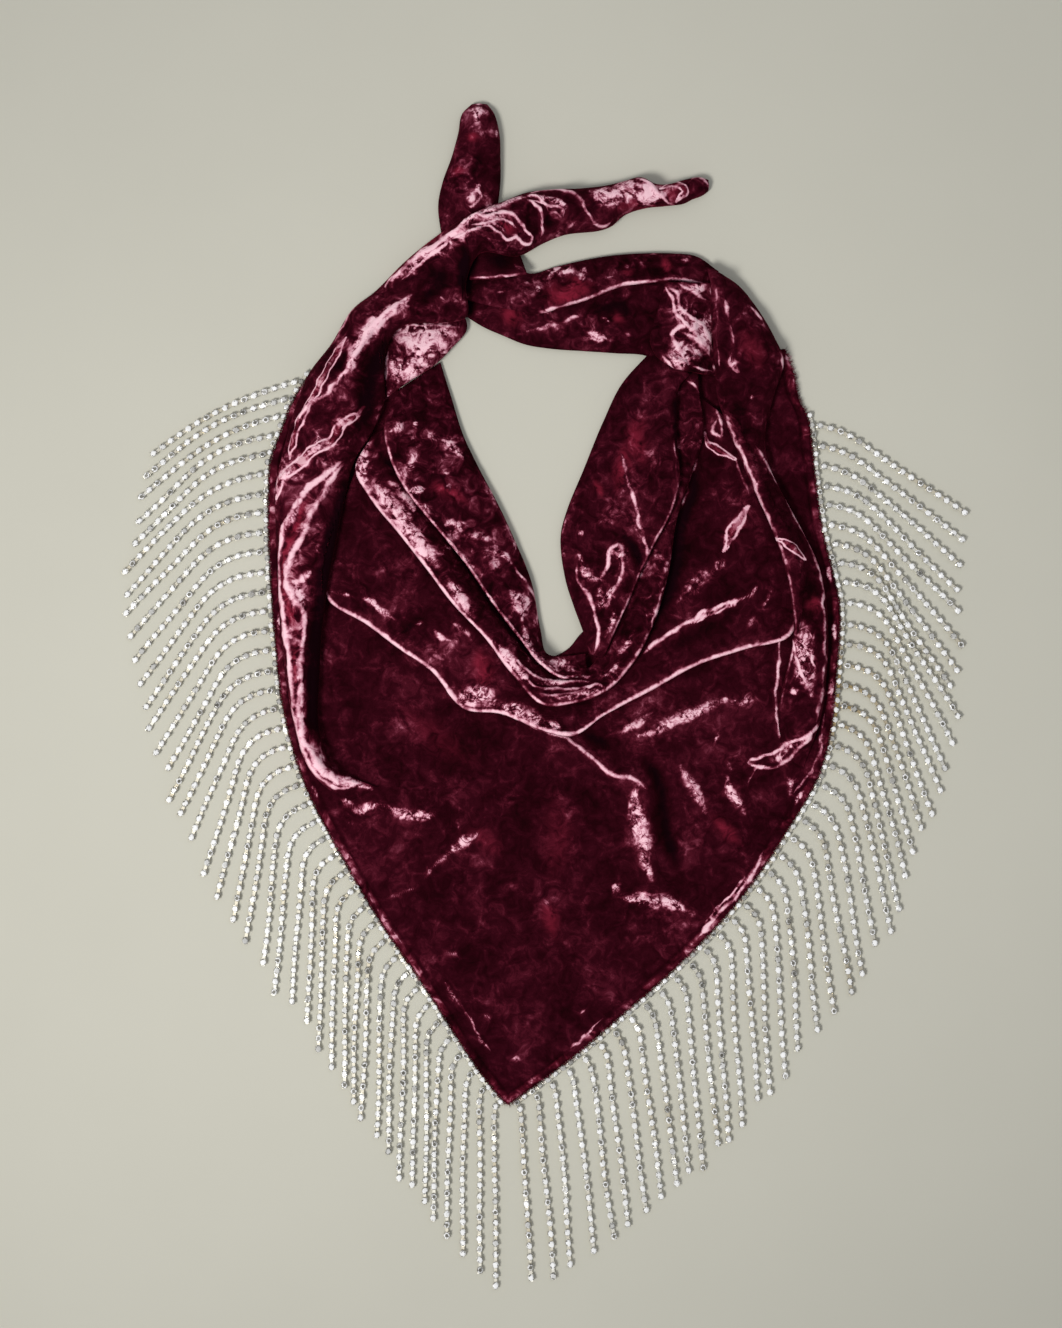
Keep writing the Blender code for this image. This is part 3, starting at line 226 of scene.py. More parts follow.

# Creases given for each piece. Kinds: "line" a thin crest with a painted highlight, "pair" two flanks
# with painted highlights, paler painted sheen along them and painted red sheen on the crest between
# them, "band" a swell with mottled painted highlights, "glow" a soft swell with painted red sheen,
# "blush" a soft swell with paler painted sheen and "dark" a trough with painted shade; the painted
# highlights and sheen stand partly for the crushed pile's own paler lay. A row has the kind, the half
# width and the height in millimetres, the strength, and the places (x,y) that the crease runs through.
Crease = namedtuple("Crease", "kind width height shine path")
CREASES = {
    "front_panel": """
        line 1.2 0.7 0.8  -11,-10 -2,-14 8,-17 18,-25 24,-30 30,-34 37,-35 44,-39
        band 3.6 1 1  40,-37 38,-45 40,-54 42,-62 43,-72 46,-80
        dark 3.2 -0.9 0.8  37,-22 46,-31 50,-40 52,-56 56,-70 61,-82
        dark 3 -0.5 0.8  11,-12 20,-17 30,-23
        band 1.7 0.7 0.75  30,-15 38,-11 46,-5
        band 2.7 0.9 1  40,-16 48,-13 56,-9 64,-6 72,-2 79,0
        blush 2.2 0.4 1  79,0 86,0 95,0
        band 2.6 0.8 0.75  58,-29 63,-36 67,-43 70,-50
        glow 2.8 0.3 0.6  72,-50 79,-58 86,-65
        band 2.4 0.8 1  80,-34 81,-40 84,-45 87,-51
        band 1.7 0.3 0.7  107,-34 109,-42
        band 1.3 0.4 0.6  80,-27 82,-31
        band 1 0.3 0.6  74,-20 77,-13
        band 3 1 1  32,-88 40,-89 47,-90 53,-90 59,-93 65,-96
        line 1 0.3 0.8  36,-87 45,-87 52,-87 58,-91 63,-94
        band 1.7 0.5 0.9  28,-86 32,-82
        band 2.2 0.5 1  -91,-50 -86,-50 -80,-47 -75,-47
        band 3 0.7 1  -78,-47 -71,-49 -65,-51 -58,-52 -52,-51
        band 1.8 0.4 0.8  -94,-44 -88,-47
        band 1.4 0.4 0.6  -91,-54 -88,-56
        band 2.3 0.5 1  -33,-60 -39,-64 -46,-69
        band 1 0.4 0.5  -43,-67 -51,-74 -56,-80
        band 1 0.4 0.5  -60,-84 -66,-86 -74,-89
        band 1 0.3 0.5  -41,-58 -42,-54
        band 1.5 0.3 0.6  -46,-113 -43,-114 -40,-116
        band 1.5 0.5 0.8  -47,-126 -44,-133 -39,-138
        band 0.9 0.4 0.5  -39,-138 -34,-146 -30,-154 -26,-158
        band 1.3 0.3 0.6  -29,-141 -26,-144
        band 1.6 0.3 0.65  -18,-161 -13,-162
        glow 3 0.3 0.45  -2,-88 0,-96 3,-108
        band 1.4 0.2 0.4  -3,-89 0,-92
        glow 4 0.3 0.25  -42,-60 -30,-62 -20,-70
        glow 6 0.2 0.15  -70,0 -50,-18 -30,-30
        glow 6 0.2 0.15  0,-40 4,-60 0,-84
        line 0.8 0.4 0.6  12,-141 17,-138
        line 0.9 0.5 0.75  7,-158 13,-154 18,-148 24,-143
        line 1 0.4 0.9  66,-107 71,-102 77,-95 86,-86 92,-77 97,-67
        line 0.8 0.3 0.8  70,-100 76,-93 83,-86 89,-77
        line 0.9 0.5 0.6  124,-5 122,-20 116,-34 110,-42
        line 1.2 0.8 1  89,-28 94,-29.5 101,-30 107,-26 112,-21 117,-15 120,-11
        line 1 0.6 1  89,-28 94,-25.5 101,-23.5 107,-19 113,-16.5 118,-14 121,-11
        blush 2.2 0.5 1  95,-28 104,-25 112,-19
        band 1.2 0.3 0.6  97,-28 104,-26 110,-21
        line 0.8 0.5 0.55  94,-27 91,-34 88,-40
        line 0.8 0.5 0.85  104,30 103,18 102,6 102.5,-8 104,-20
        band 1.6 0.2 0.6  110,-35 112,-38
        band 1.3 0.2 0.65  125,62 127,52
        band 1.2 0.2 0.6  128,36 128,26
        band 1.3 0.2 0.65  127,12 126,2
        band 1.2 0.2 0.6  124,-12 121,-22
        band 1.2 0.2 0.6  114,-41 110,-48
        band 1.2 0.2 0.5  -123,98 -124,88
        band 1.2 0.2 0.5  -122,40 -121,28
        band 1.1 0.2 0.5  -108,-36 -104,-44
        line 0.7 0.2 0.45  -88,-76 -78,-92 -66,-110
    """,
    "cowl_lower": """
        line 1.2 0.9 0.95  42,21 48,26 55,31 62,35
        line 1.1 0.8 1  57,32 63,36 70,40 77,42.5 84,45 90,48
        line 0.9 0.4 0.9  62,34 69,37.5 76,40 83,43
        dark 4 -0.8 0.5  46,17 56,24 68,31 80,36
        dark 4 -0.8 1  69,112 63,94 58,76 54,50 43,29
        dark 4 -0.4 0.6  -65,35 -60,31
        band 4 0.7 0.5  58,45 66,53 74,59
        pair 2.6 1.3 0.9  89,87 84,79 80,72 78,67
        band 2 0.6 0.85  78,63 74,58
        band 1 0.4 0.5  89,45 93,53
        band 1 0.4 0.6  95,41 100,50
        band 1.2 0.3 0.4  88,32 92,38
        line 1 0.6 0.7  67,110 63,100 61,93 58,85
        line 0.9 0.5 0.6  62,144 66,140 69,136
        pair 1.8 0.9 0.9  70,120 71,116 77,111 83,108
        line 1 0.7 0.8  75,136 76,128 77,125 76,118 73,121 76,127
        line 0.9 0.5 0.7  83,108 87,99 90,92
        band 1.3 0.5 0.6  -98,49 -91,48 -86,46
        band 1.6 0.6 0.7  -84,46 -79,44 -75,40 -69,36
        band 1.3 0.3 0.6  -60,34 -57,35
        band 1.5 0.4 0.65  -52,32 -50,29 -44,27
        band 1.2 0.4 0.55  -44,35 -38,31 -34,26
        glow 4 0.4 0.7  -32,24 -30,14 -29,4
        band 4.2 0.8 1  -42,-1 -36,1 -30,3 -25,0
        band 3 0.6 0.95  -28,-1 -20,-3 -12,-5 -4,-9 5,-12
        band 1.4 0.3 0.45  30,-2 29,-6
    """,
    "cowl_middle": """
        band 4.2 0.6 1  -82,116 -84,108 -85,102 -80,95
        dark 2.6 -0.6 0.9  -76,112 -70,104 -66,97
        band 1.6 0.4 0.8  -5,8 4,8 12,10 19,12
        band 1.4 0.4 0.7  -1,3 8,1 16,3 23,6
        band 3.6 0.6 0.95  -78,98 -72,89 -64,79 -58,70 -50,60
        band 2.6 0.4 0.7  -72,98 -64,91 -59,84
        band 2.6 0.4 0.8  -46,56 -40,46 -34,38
        band 2.8 0.6 0.9  -28,28 -20,20 -13,12 -7,7
        line 0.9 0.7 0.85  -17,19 -9,13 -1,9 11,8 18,9
        line 0.9 0.7 0.9  -12,12 -7,7 3,5 13,5 21,7 27,6
        line 0.9 0.6 0.8  -7,3 3,2 11,3 18,5
        band 1.5 0.5 0.8  22,9 27,12 31,17
        band 1.8 0.4 0.5  30,20 35,26 38,32
        line 0.8 0.5 0.5  45,32 49,44 52,54
        line 1 0.4 0.85  61.5,144.5 65,140.5 68,137
        blush 4.4 0.2 0.6  -83,104 -74,90 -60,72 -44,50
    """,
    "cowl_right": """
        dark 3 -1.6 0.9  27,80 34,72 40,63 41,55 40,46
        dark 2.2 -0.8 1.1  57,141 57,124 58,108
        line 1 0.8 0.75  32,111 36,96 40,80 43,68 42,58 38,48 34,40
        line 1.1 0.9 0.9  12,64 13,55 18,46 21,37 22,28 20,21
        band 2 1 0.95  13,65 16,59 20,54 23,54
        line 1.2 1 0.9  22,53 26,60 27,68 32,70 33,63 31,52 26,45
        band 2.6 0.7 0.9  27,66 30,68 33,63 32,57
        band 2.6 1 0.95  23,50 23,44 27,47 30,52
        dark 3 -1.4 0.6  27,62 28,56
        band 1.6 0.6 0.7  25,28 28,34 29,41
        glow 3 0.5 0.7  30,92 33,104 34,116
        band 1.2 0.3 0.5  13,76 15,74
        glow 3 0.4 0.7  20,94 24,96
        line 0.8 0.5 0.5  56,118 56,104 57,92
        glow 4 0.4 0.5  42,130 38,118 44,104
    """,
    "cowl_inner": """
        band 1.9 0.6 0.9  -71,120 -68,121 -66,125
        band 1.4 0.5 0.7  -61,126 -60,122
        band 1.6 0.6 0.85  -54,120 -52,115
        band 1.8 0.7 0.9  -48,117 -43,113 -38,108
        blush 2.2 0.5 0.9  -65,115 -61,110 -63,103 -66,98
        band 1.8 0.6 1  -63,94 -55,95
        band 1.7 0.5 0.8  -47,95 -44,96
        glow 2.6 0.4 0.8  -56,97 -42,92 -36,88
        band 1.6 0.7 0.9  -48,78 -44,80 -39,76
        band 1.9 0.7 1  -38,72 -32,74 -26,72
        band 1.7 0.8 0.95  -27,67 -22,66 -17,61
        line 0.8 0.5 0.7  -17,61 -12,55 -8,49 -6,41 -5,33
        band 3.8 0.8 1  -17,49 -13,44 -12,37
        band 1.6 0.5 0.9  -12,34 -10,27 -7,22
        band 2.2 0.5 0.75  -46,70 -40,64 -34,60
        band 1.8 0.6 1  0,18 4,18 9,15
        band 1.3 0.4 0.7  -16,66 -15,72 -13,68
    """,
    "knot_turn": """
        blush 12 0.2 1.05  -66,150 -58,158 -50,166
        band 11 0.6 0.95  -66,164 -56,164 -46,165
        band 6 0.4 1  -70,154 -66,148 -56,154
        line 1 0.7 0.8  -64,168 -56,168 -47,168 -40,167
        line 1 0.8 0.7  -72,158 -73,150 -73,140
        dark 2.6 -0.6 0.6  -62,152 -58,155
    """,
    "knot_flap": """
        dark 4 -0.2 0.8  -32,197 -24,197 -15,196
        dark 2.6 -0.2 1.3  -35,206 -35,188
        line 0.8 0.3 0.8  -29,190 -23,190 -15,191 -11,192
        band 1 0.3 0.7  -16,196 -13,194 -11,192
    """,
    "tail_up": """
        band 6 0.5 0.75  -35,264 -29,264
        line 0.9 0.5 0.9  -39,223.5 -36,225.5 -32.4,228.5 -30.6,226.6 -32,223.8 -34.7,221.6 -38.5,222.6
        blush 2.4 0.5 1  -37,223.5 -32,226.5
        band 1.2 0.3 0.8  -33,228 -31.5,231
        line 0.8 0.4 0.6  -38,221 -34,217
        line 0.9 0.5 0.5  -43,232 -42,226
        glow 2.2 0.4 0.7  -41,240 -41,234
        glow 2.6 0.4 0.8  -34,255 -35,249
        dark 3.4 -0.8 0.5  -31,250 -32,240 -34,232
        band 1 0.2 0.5  -24,252 -24,256
    """,
    "neck_band_lower": """
        dark 2.6 -0.2 1.2  -38,186 -37,172
        line 1 0.6 0.75  4,169 9,171 15,172
        band 1.3 0.5 0.5  -10,166 -3,167 4,169
        band 2 0.6 0.85  16,165 22,163 28,162
        glow 4 0.4 0.7  -22,178 -16,172 -12,168
        glow 2.6 0.4 0.6  28,170 33,174
        dark 6 -0.8 0.7  14,176 28,176 44,174
        band 1 0.3 0.5  24,172 27,170
        band 1.1 0.3 0.6  34,165 37,163
        band 0.9 0.2 0.5  -2,175 1,173
    """,
    "neck_band_upper": """
        dark 2.6 -0.2 1.3  -37,197 -37,180
        glow 5.5 0.7 0.9  1,189 3,182 10,181 13,187 7,190
        band 1 0.3 0.55  24,189 28,190
        band 1 0.3 0.6  33,196 35,193
        band 1.1 0.3 0.6  -12,188 -9,186
        band 0.9 0.2 0.5  -24,184 -20,183
        band 1.2 0.3 0.6  59,198 64,197
        band 1.6 0.5 0.55  8,192 14,190 19,188
        blush 2.2 0.3 1  -3,184 1,191 9,193 16,190
        blush 1.6 0.3 0.9  3,181 8,184 11,188
        band 1.4 0.3 0.5  -6,186 -4,182
        band 1.6 0.4 0.6  14,195 16,192
        glow 3 0.4 0.9  50,195 55,195
        glow 2.4 0.3 0.6  34,194 35,190
        line 0.8 0.3 0.6  43,200 50,200
    """,
    "shoulder_fold": """
        blush 5 0.4 1  55,184 60,174 67,166 72,156
        blush 5 0.3 1  56,163 60,156 68,156
        blush 3 0.3 0.9  62,185 70,184
        line 1.1 0.7 1  51,186 54.4,181.3 56.2,174.3 60.7,168.8 65,164.6 71,157 72.5,153.4
        line 1 0.6 0.9  53,186 57.2,182 58,177 62,172 66.3,170 71.2,164.5
        line 1 0.5 0.85  57,186 63.5,183.4 71,179
        band 1.9 0.4 0.9  61,185.5 66,184 70,186
        line 1.1 0.6 1  65.6,167.4 61,167.5 57,166.3 54.5,163.8 56.5,159 59.3,155.5 60,149 59.5,146
        line 0.9 0.5 0.9  58,164.6 63.5,163.2 68.4,159 72.5,154.8
        band 2.6 0.6 1  53.5,154.5 58.6,151 62,154
        band 1.8 0.5 1  66,168 70,163 72,157
        band 1.6 0.4 0.9  64.5,157.5 68,155
        line 0.9 0.4 0.85  67.5,167.4 72,161.8 71,157
        line 0.9 0.5 0.95  63.5,149.2 68,148 73.3,146.8
        line 0.8 0.4 0.8  73.3,153.4 73.6,146.8
        line 0.8 0.4 0.7  49.5,156 53.7,149.2 57.6,144.4
        line 0.7 0.3 0.5  72,186 72.5,176 73,166
    """,
    "left_run": """
        line 1.6 1 0.9  -92,108 -99,102 -109,93 -114,86 -118,77 -120,67 -121,55 -120,44 -118,32 -116,21
            -115,9 -114,-4 -111,-16 -107,-28 -101,-35 -94,-39 -86,-38
        line 1.6 1 0.9  -92,107 -97,99 -102,91 -106,84 -110,74 -116,61 -117,54 -115,48 -110,39 -110,27
            -111,16 -111,5 -111,-8 -109,-17 -104,-27 -96,-35 -89,-36 -81,-38
        blush 4 0.3 0.5  -99,101 -108,86 -114,68 -115,50 -112,30 -112,5 -109,-14 -101,-31 -88,-38
        line 1.3 0.6 1  -71,188.5 -64,194 -56,200 -48,205 -41,210
        line 0.8 0.4 0.9  -67,187.5 -59,194 -51,200 -44,205
        line 0.8 0.4 0.9  -74,185 -69,191 -61,198 -53,204
        blush 4 0.3 0.9  -66,180 -76,170 -86,156 -94,144
        line 1.3 0.6 1  -60,183 -66,178 -74,172 -80,165 -85,157 -90,149
        blush 4.6 0.3 0.65  -66,188 -46,204 -30,212 -14,217 -2,223
        glow 3.4 0.6 1.15  -104,97 -112,84 -116,70 -118,56 -115,40 -113,28
        glow 2 0.4 1  -113,28 -113,12 -112,-8 -108,-22 -100,-32
        band 2 0.5 1  -113,52 -111,45 -110,38
        band 1.8 0.5 0.8  -114,53 -109,55 -105,59
        band 1.6 0.4 0.8  -119,72 -116,79 -112,86
        dark 5 -1 1.2  -87,108 -92,88 -98,66 -101,40 -104,14 -104,-8 -98,-24
        band 2.4 0.5 1  -101,-32 -94,-36 -87,-37 -80,-40
        dark 4 -0.5 0.8  -57,184 -51,180
        pair 1.5 1.2 1  -91,162 -96,154 -101,144 -105,136 -110,127 -114,117 -116,108
        band 2.4 1.4 0.95  -62,182 -65,177 -72,174 -76,170 -81,164 -86,155 -89,148 -94,143
        line 1.1 0.5 1  -64,180 -70,173 -77,167 -84,157 -91,147 -95,141
        line 1.3 0.9 0.9  -94,143 -100,136 -108,131 -113,124
        pair 2 1.2 0.95  -82,131 -87,127 -93,123 -97,116 -103,113 -108,109 -114,104 -120,99 -122,90
        band 2 0.8 0.9  -104,119 -103,114 -107,110
        band 1.6 0.8 0.8  -115,103 -119,97
        dark 5 -1.4 0.8  -90,160 -97,150 -102,138
        dark 5 -1.6 0.9  -60,172 -70,160 -78,148 -80,138 -84,124 -88,112
        line 1 0.5 0.7  -86,179 -90,173 -94,165 -99,157
        band 2.4 1.1 0.85  -71,188 -63,194 -56,199 -49,203 -44,207
        glow 2.4 0.5 0.8  -74,185 -64,196 -54,205 -44,212
        dark 7 -1.2 0.7  -48,178 -50,188 -45,196
        dark 3 -0.4 1.3  -37,205 -38,194 -38,178
        line 0.9 0.5 0.6  -50,181 -46,178
        band 1.6 0.9 0.95  -42,209 -38,213 -27,219 -16,224 -10,226
        line 0.85 1 0.9  -47,206 -41,210 -34,215.5 -28.5,215 -21.5,217.8 -16,217 -12.4,213 -11,209.4
            -8,207.3 -9,204.5 -12.4,204.3 -15.2,206.6 -19.4,205.9 -23,208 -27,211 -31,210 -36,208.7 -44,205
        line 0.8 0.5 0.8  -36,212 -28,212.5 -21,214.5 -16,212.5 -13.5,208.5
        line 0.8 0.6 0.85  -12,226.5 -5,224.8 -1,221.3 4.4,220 6.5,218.3 5.5,215.5 2.5,218 -1,217
        line 0.7 0.4 0.7  -9,224 -3,222 0,218.5 2,214
        blush 5 0.2 0.75  16,224 34,226 50,228 68,232
        glow 3 0.3 1  -28,213 -20,212 -13,210
        band 1.1 0.7 0.8  -27,213 -23,211 -19,208
        line 0.9 0.9 0.85  -12,225 -6,221 -3,214 -3,210 -5,206
        line 1 1.1 0.9  -10,227 0,229 7,228 13,224 17,218 20,214 24,212 28,215
        band 1.3 0.9 0.9  -11,226 -3,225 2,223 7,220 5,217 2,215
        line 0.9 0.5 0.5  7,211 10,213 13,216
        dark 2.6 -1 0.6  0,219 1,212 4,210
        dark 2.6 -1 0.6  18,224 23,217
        band 4.4 0.5 0.8  18,227 26,225 34,224
        band 3.8 0.5 0.7  36,226 44,226 52,226
        glow 4 0.3 0.8  24,220 36,224 50,226 64,229
        line 1.2 1 0.95  38,234 43,232 47,228 53,224 57,223
        pair 1.7 0.8 0.9  49,229 56,231 61,228 57,224
        line 1.1 0.8 0.9  61,231 66,234 70,233 71,229
        band 2.2 0.3 0.6  30,231 37,232
    """,
    "right_roll": """
        line 0.7 0.3 0.4  74,186 74.5,172 75,160 76,148
        line 1.3 0.6 0.9  77.5,181 78.5,178 80.2,170
        line 0.9 0.5 0.6  80.2,170 81,164 82.5,158
        line 1 0.6 0.85  82.3,157 80.4,150.6 84.4,146.5 82.5,152
        blush 1.8 0.4 0.9  82,153 82.5,148
        line 1 0.5 0.75  89,177 94,171 97,167
        band 1 0.3 0.6  90,136 91,134
        line 1.1 0.7 0.85  102,158 105,151 106,144
        line 1.1 0.8 0.8  79,128 81,122 84,115 87,108 89,102 93,93 96,86 99,79 102,72
        line 1.1 0.8 0.8  92,114 96,108 101,101 105,92 110,82 115,73 118,66 121,56 122,42 123,28 122,6
            119,-10
        pair 1.6 0.8 0.95  101,73 105,71 110,67 114,63
        band 1.2 0.4 0.7  102,66 103,63
        band 4.6 0.6 1  113,35 114,22 115,10 117,3
        line 0.9 0.4 0.8  109,30 110,20 113,12 117,5
        line 0.8 0.3 0.7  118,32 117,22 119,12
        line 0.9 0.5 0.6  108,36 107,28 107,20
        band 1.8 0.4 0.8  109,6 110,3
        glow 3 0.4 0.7  118,48 119,38
        glow 5 0.4 0.3  84,168 90,158 94,146
        dark 3 -0.8 0.5  82,140 86,124 92,108
        line 1.2 0.5 1  98,-30 103,-29 107,-26 112,-21 117,-15 121,-9
        line 1 0.4 1  97,-25 101,-23.5 107,-19 113,-16.5 118,-14 122,-10
        blush 2 0.2 0.9  101,-26 112,-19 118,-14
    """,
}

# Bright rims of the folds, their brightness painted highlights: side of the stretch (0 first, 1 second),
# the part of its length that the rim runs over, its distance from the side, half width, height and strength
Rim = namedtuple("Rim", "side start end inset width height shine")
RIMS = {
    "right_roll": [Rim(0, 0.5, 0.9, 0.9, 0.8, 0.3, 0.55)],
    "cowl_lower": [
        Rim(0, 0.17, 0.38, 1.0, 1.2, 0.6, 0.95), Rim(0, 0.36, 0.45, 1.0, 1.5, 0.6, 1.0),
        Rim(0, 0.44, 0.80, 1.2, 1.2, 0.7, 0.9),
    ],
    "cowl_middle": [
        Rim(0, 0.06, 0.42, 1.2, 1.3, 0.5, 1.0), Rim(0, 0.42, 0.62, 1.0, 1.0, 0.4, 0.7),
    ],
    "cowl_inner": [Rim(0, 0.10, 0.98, 0.8, 0.8, 0.4, 0.75), Rim(1, 0.30, 0.55, 0.8, 0.7, 0.3, 0.35)],
    "cowl_right": [Rim(0, 0.50, 0.62, 1.0, 0.8, 0.3, 0.3), Rim(1, 0.30, 0.95, 0.8, 0.8, 0.3, 0.5)],
    "neck_band_upper": [Rim(1, 0.28, 0.95, 0.8, 1.0, 0.4, 0.85)],
    "knot_flap": [Rim(1, 0.0, 1.0, 0.8, 0.7, 0.2, 0.6)],
}

# Painted light and shade of the whole surface, given as a shine, where a piece lies in shade or catches the
# light
PAINTED_PIECE_LIGHT = {
    "knot_turn": 0.12, "shoulder_fold": 0.08, "knot_flap": -0.12, "neck_band_upper": 0.04,
    "cowl_middle": 0.05, "cowl_inner": 0.04, "cowl_right": -0.02, "cowl_lower": -0.02,
}

# Linear colours; a list runs by rising value of what drives it
# The higher stops of the velvet's tones are its painted pink highlights
VELVET_TONES = [
    (0.00, (0.0070, 0.0004, 0.0012)), (0.22, (0.0185, 0.0008, 0.0032)),
    (0.38, (0.0330, 0.0020, 0.0062)), (0.52, (0.0700, 0.0055, 0.0140)),
    (0.64, (0.150, 0.022, 0.042)), (0.76, (0.38, 0.112, 0.165)),
    (0.88, (0.72, 0.345, 0.43)), (1.00, (0.97, 0.61, 0.69)),
]
# painted red sheen, and painted bluish shade for the troughs
VELVET_SHEEN_RED = (0.28, 0.016, 0.040, 1)
VELVET_SHADE_TINT = (0.0055, 0.0007, 0.0030, 1)
# painted reflections of the stones' facets, from dark to white
STONE_REFLECTION_TONES = [
    (0.0, (0.035, 0.032, 0.026)), (0.35, (0.22, 0.21, 0.18)),
    (0.7, (0.86, 0.86, 0.85)), (1.0, (1.0, 1.0, 1.0)),
]
PLATING_TONES = [(0.40, (0.88, 0.86, 0.78)), (0.62, (0.72, 0.66, 0.52)), (1.0, (0.46, 0.33, 0.14))]
TABLE_TONES = [(0.3, (0.575, 0.562, 0.484)), (0.7, (0.595, 0.582, 0.502))]

# Fringe
STRANDS = 41
HEADER_WIDTH = 2.4
FLOOR_CLEARANCE = 0.4
STRAND_PITCH = 4.75      # from stone to stone down a strand
HEADER_PITCH = 4.3       # from stone to stone along the sewn edge
STONE_RADIUS = 1.5
HEADER_RADIUS = 1.3
RIGHT_FRINGE_FROM = 32   # down the right edge, where its fringe begins
FINE_STEPS = 60          # steps by which a strand's bend is worked out
STONE_SIZE = (1.14, 0.97, 1.35)    # along and across against its radius, and upward
CUP_SIZE = (1.26, 1.0, 1.15)
LINK_WIDTH = 2.2
LINK_HEIGHT = 0.9
LINK_GAP = 1.2           # of a stone's radius, left out of a link's length
GIRDLE_LEVEL = FLOOR_CLEARANCE + 1.25
LINK_LEVEL = FLOOR_CLEARANCE + 0.55
TILT = 0.10              # lean of a stone
TURN = 0.3               # most that a stone is turned in its chain
HEADER_SWAY = 0.2        # most that a header stone strays
STRAND_SWAY = (0.1, 0.5)     # least and most that a strand sways aside
SWAY_LENGTH = 11         # a strand's sway turns by one radian over this
HANG_SPREAD = 0.9        # degrees by which a strand's hang varies
LENGTH_SPREAD = (-2.0, 1.0)
PITCH_SPREAD = 0.15      # most that a stone strays along its strand
FIRST_STONE = 0.45       # of a pitch down its strand
# Painted reflections of the stones: each stone and each of its facets takes a brightness in its colour
DULL_CHANCE = 0.12       # of a stone in a strand
DULL_STONE = (0.5, 0.8)      # least and most brightness, here and below
BRIGHT_STONE = (0.85, 1.05)
HEADER_STONE = (0.4, 1.0)
RIM_FACETS = 16          # facets of a stone between its girdle and its second row
RIM_BRIGHT = 0.4         # share of those that are bright, and of the facets above them
TOP_BRIGHT = 0.85
BRIGHT_FACET = (0.8, 1.1)
DULL_FACET = (0.2, 0.45)
BRASSY_SPOT = (131.0, 2.0)    # where the plating of the bunched strands looks warmest
BRASSY_REACH = 26.0
BRASSY = 0.45            # how warm it is there

# Strands at shares of their edge: share, degrees below the outward horizontal where a strand leaves and
# where it has settled, the share of its length that it bends over, and its length
Strand = namedtuple("Strand", "share leave hang bend length")
LEFT_STRANDS = [
    (0.0, 18, 36, 1.00, 80), (0.1, 12, 45, 0.60, 80), (0.2, 6, 48, 0.50, 83), (0.3, 6, 56, 0.45, 83),
    (0.4, 10, 64, 0.40, 81), (0.5, 16, 80, 0.35, 83), (0.6, 26, 87, 0.25, 86), (0.7, 34, 88, 0.20, 88),
    (0.8, 38, 88, 0.18, 90), (0.9, 40, 89, 0.15, 90), (1.0, 84, 90, 0.12, 88),
]
RIGHT_STRANDS = [
    (0.0, 12, 33, 0.30, 84), (0.1, 8, 45, 0.35, 85), (0.2, 6, 58, 0.35, 86), (0.3, 6, 70, 0.35, 86),
    (0.4, 18, 77, 0.30, 86), (0.5, 32, 80, 0.25, 87), (0.6, 38, 87, 0.20, 91), (0.7, 44, 85, 0.15, 92),
    (0.8, 46, 83, 0.15, 89), (0.9, 52, 83, 0.12, 88), (1.0, 80, 87, 0.10, 85),
]

# The photograph: its view of the table and its camera
VIEW_CENTRE = (-8.3, 16.4)
VIEW_HEIGHT = 597.6
LENS = 85
SENSOR = 36


def smooth(rows, columns=None, steps=12):
    """Rows on a smooth curve through the given ones, spaced by the distance over some columns."""
    rows = np.array(rows, float)
    if len(rows) < 3:
        share = np.linspace(0, 1, steps + 1)[:, None]
        return rows[:1] + (rows[-1:] - rows[:1]) * share
    seen = rows if columns is None else rows[:, columns]
    knots = np.concatenate([[0], np.cumsum(np.linalg.norm(np.diff(seen, axis=0), axis=1))])
    slope = np.diff(rows, axis=0) / np.diff(knots)[:, None]
    before, after = np.diff(knots)[:-1, None], np.diff(knots)[1:, None]
    inner = (slope[:-1] * after + slope[1:] * before) / (before + after)
    tangent = np.vstack([slope[:1], inner, slope[-1:]])
    out = []
    for i, start in enumerate(knots[:-1]):
        span = knots[i + 1] - start
        t = np.linspace(0, 1, steps, endpoint=False)[:, None]
        out.append(
            rows[i] * (2 * t**3 - 3 * t**2 + 1)
            + rows[i + 1] * (3 * t**2 - 2 * t**3)
            + tangent[i] * span * (t**3 - 2 * t**2 + t)
            + tangent[i + 1] * span * (t**3 - t**2)
        )
    return np.vstack([*out, rows[-1:]])


def lengths(path):
    """Distance along a path at each of its points."""
    return np.concatenate([[0], np.cumsum(np.linalg.norm(np.diff(path, axis=0), axis=1))])


def at(rows, distance, wanted):
    """Rows read at the wanted distances."""
    return np.column_stack([np.interp(wanted, distance, column) for column in rows.T])


def ease(t):
    """A soft step from 0 to 1."""
    t = np.clip(t, 0, 1)
    return t * t * (3 - 2 * t)


def noise(places, size, seed):
    """Soft random values from -1 to 1 over the table, with swells of about the given size."""
    table = np.random.default_rng(seed).uniform(-1, 1, (64, 64))
    spot = places[..., :2] / size
    cell = np.floor(spot).astype(int)
    u, v = np.moveaxis(ease(spot - cell), -1, 0)
    i, j = np.moveaxis(cell, -1, 0)
    corner = [table[(i + a) % 64, (j + b) % 64] for a, b in ((0, 0), (1, 0), (0, 1), (1, 1))]
    low = corner[0] + (corner[1] - corner[0]) * u
    high = corner[2] + (corner[3] - corner[2]) * u
    return low + (high - low) * v


def blur(grid, reach):
    """A grid of heights evened out over some steps, with the two reaches given in steps."""
    for axis, steps in enumerate(reach):
        width = max(1, int(steps * 2))
        kernel = np.exp(-0.5 * (np.arange(-width, width + 1) / max(steps, 0.3)) ** 2)
        kernel /= kernel.sum()
        pad = [(0, 0), (0, 0)]
        pad[axis] = (width, width)
        padded = np.pad(grid, pad, mode="edge")
        grid = np.apply_along_axis(lambda line: np.convolve(line, kernel, mode="valid"), axis, padded)
    return grid


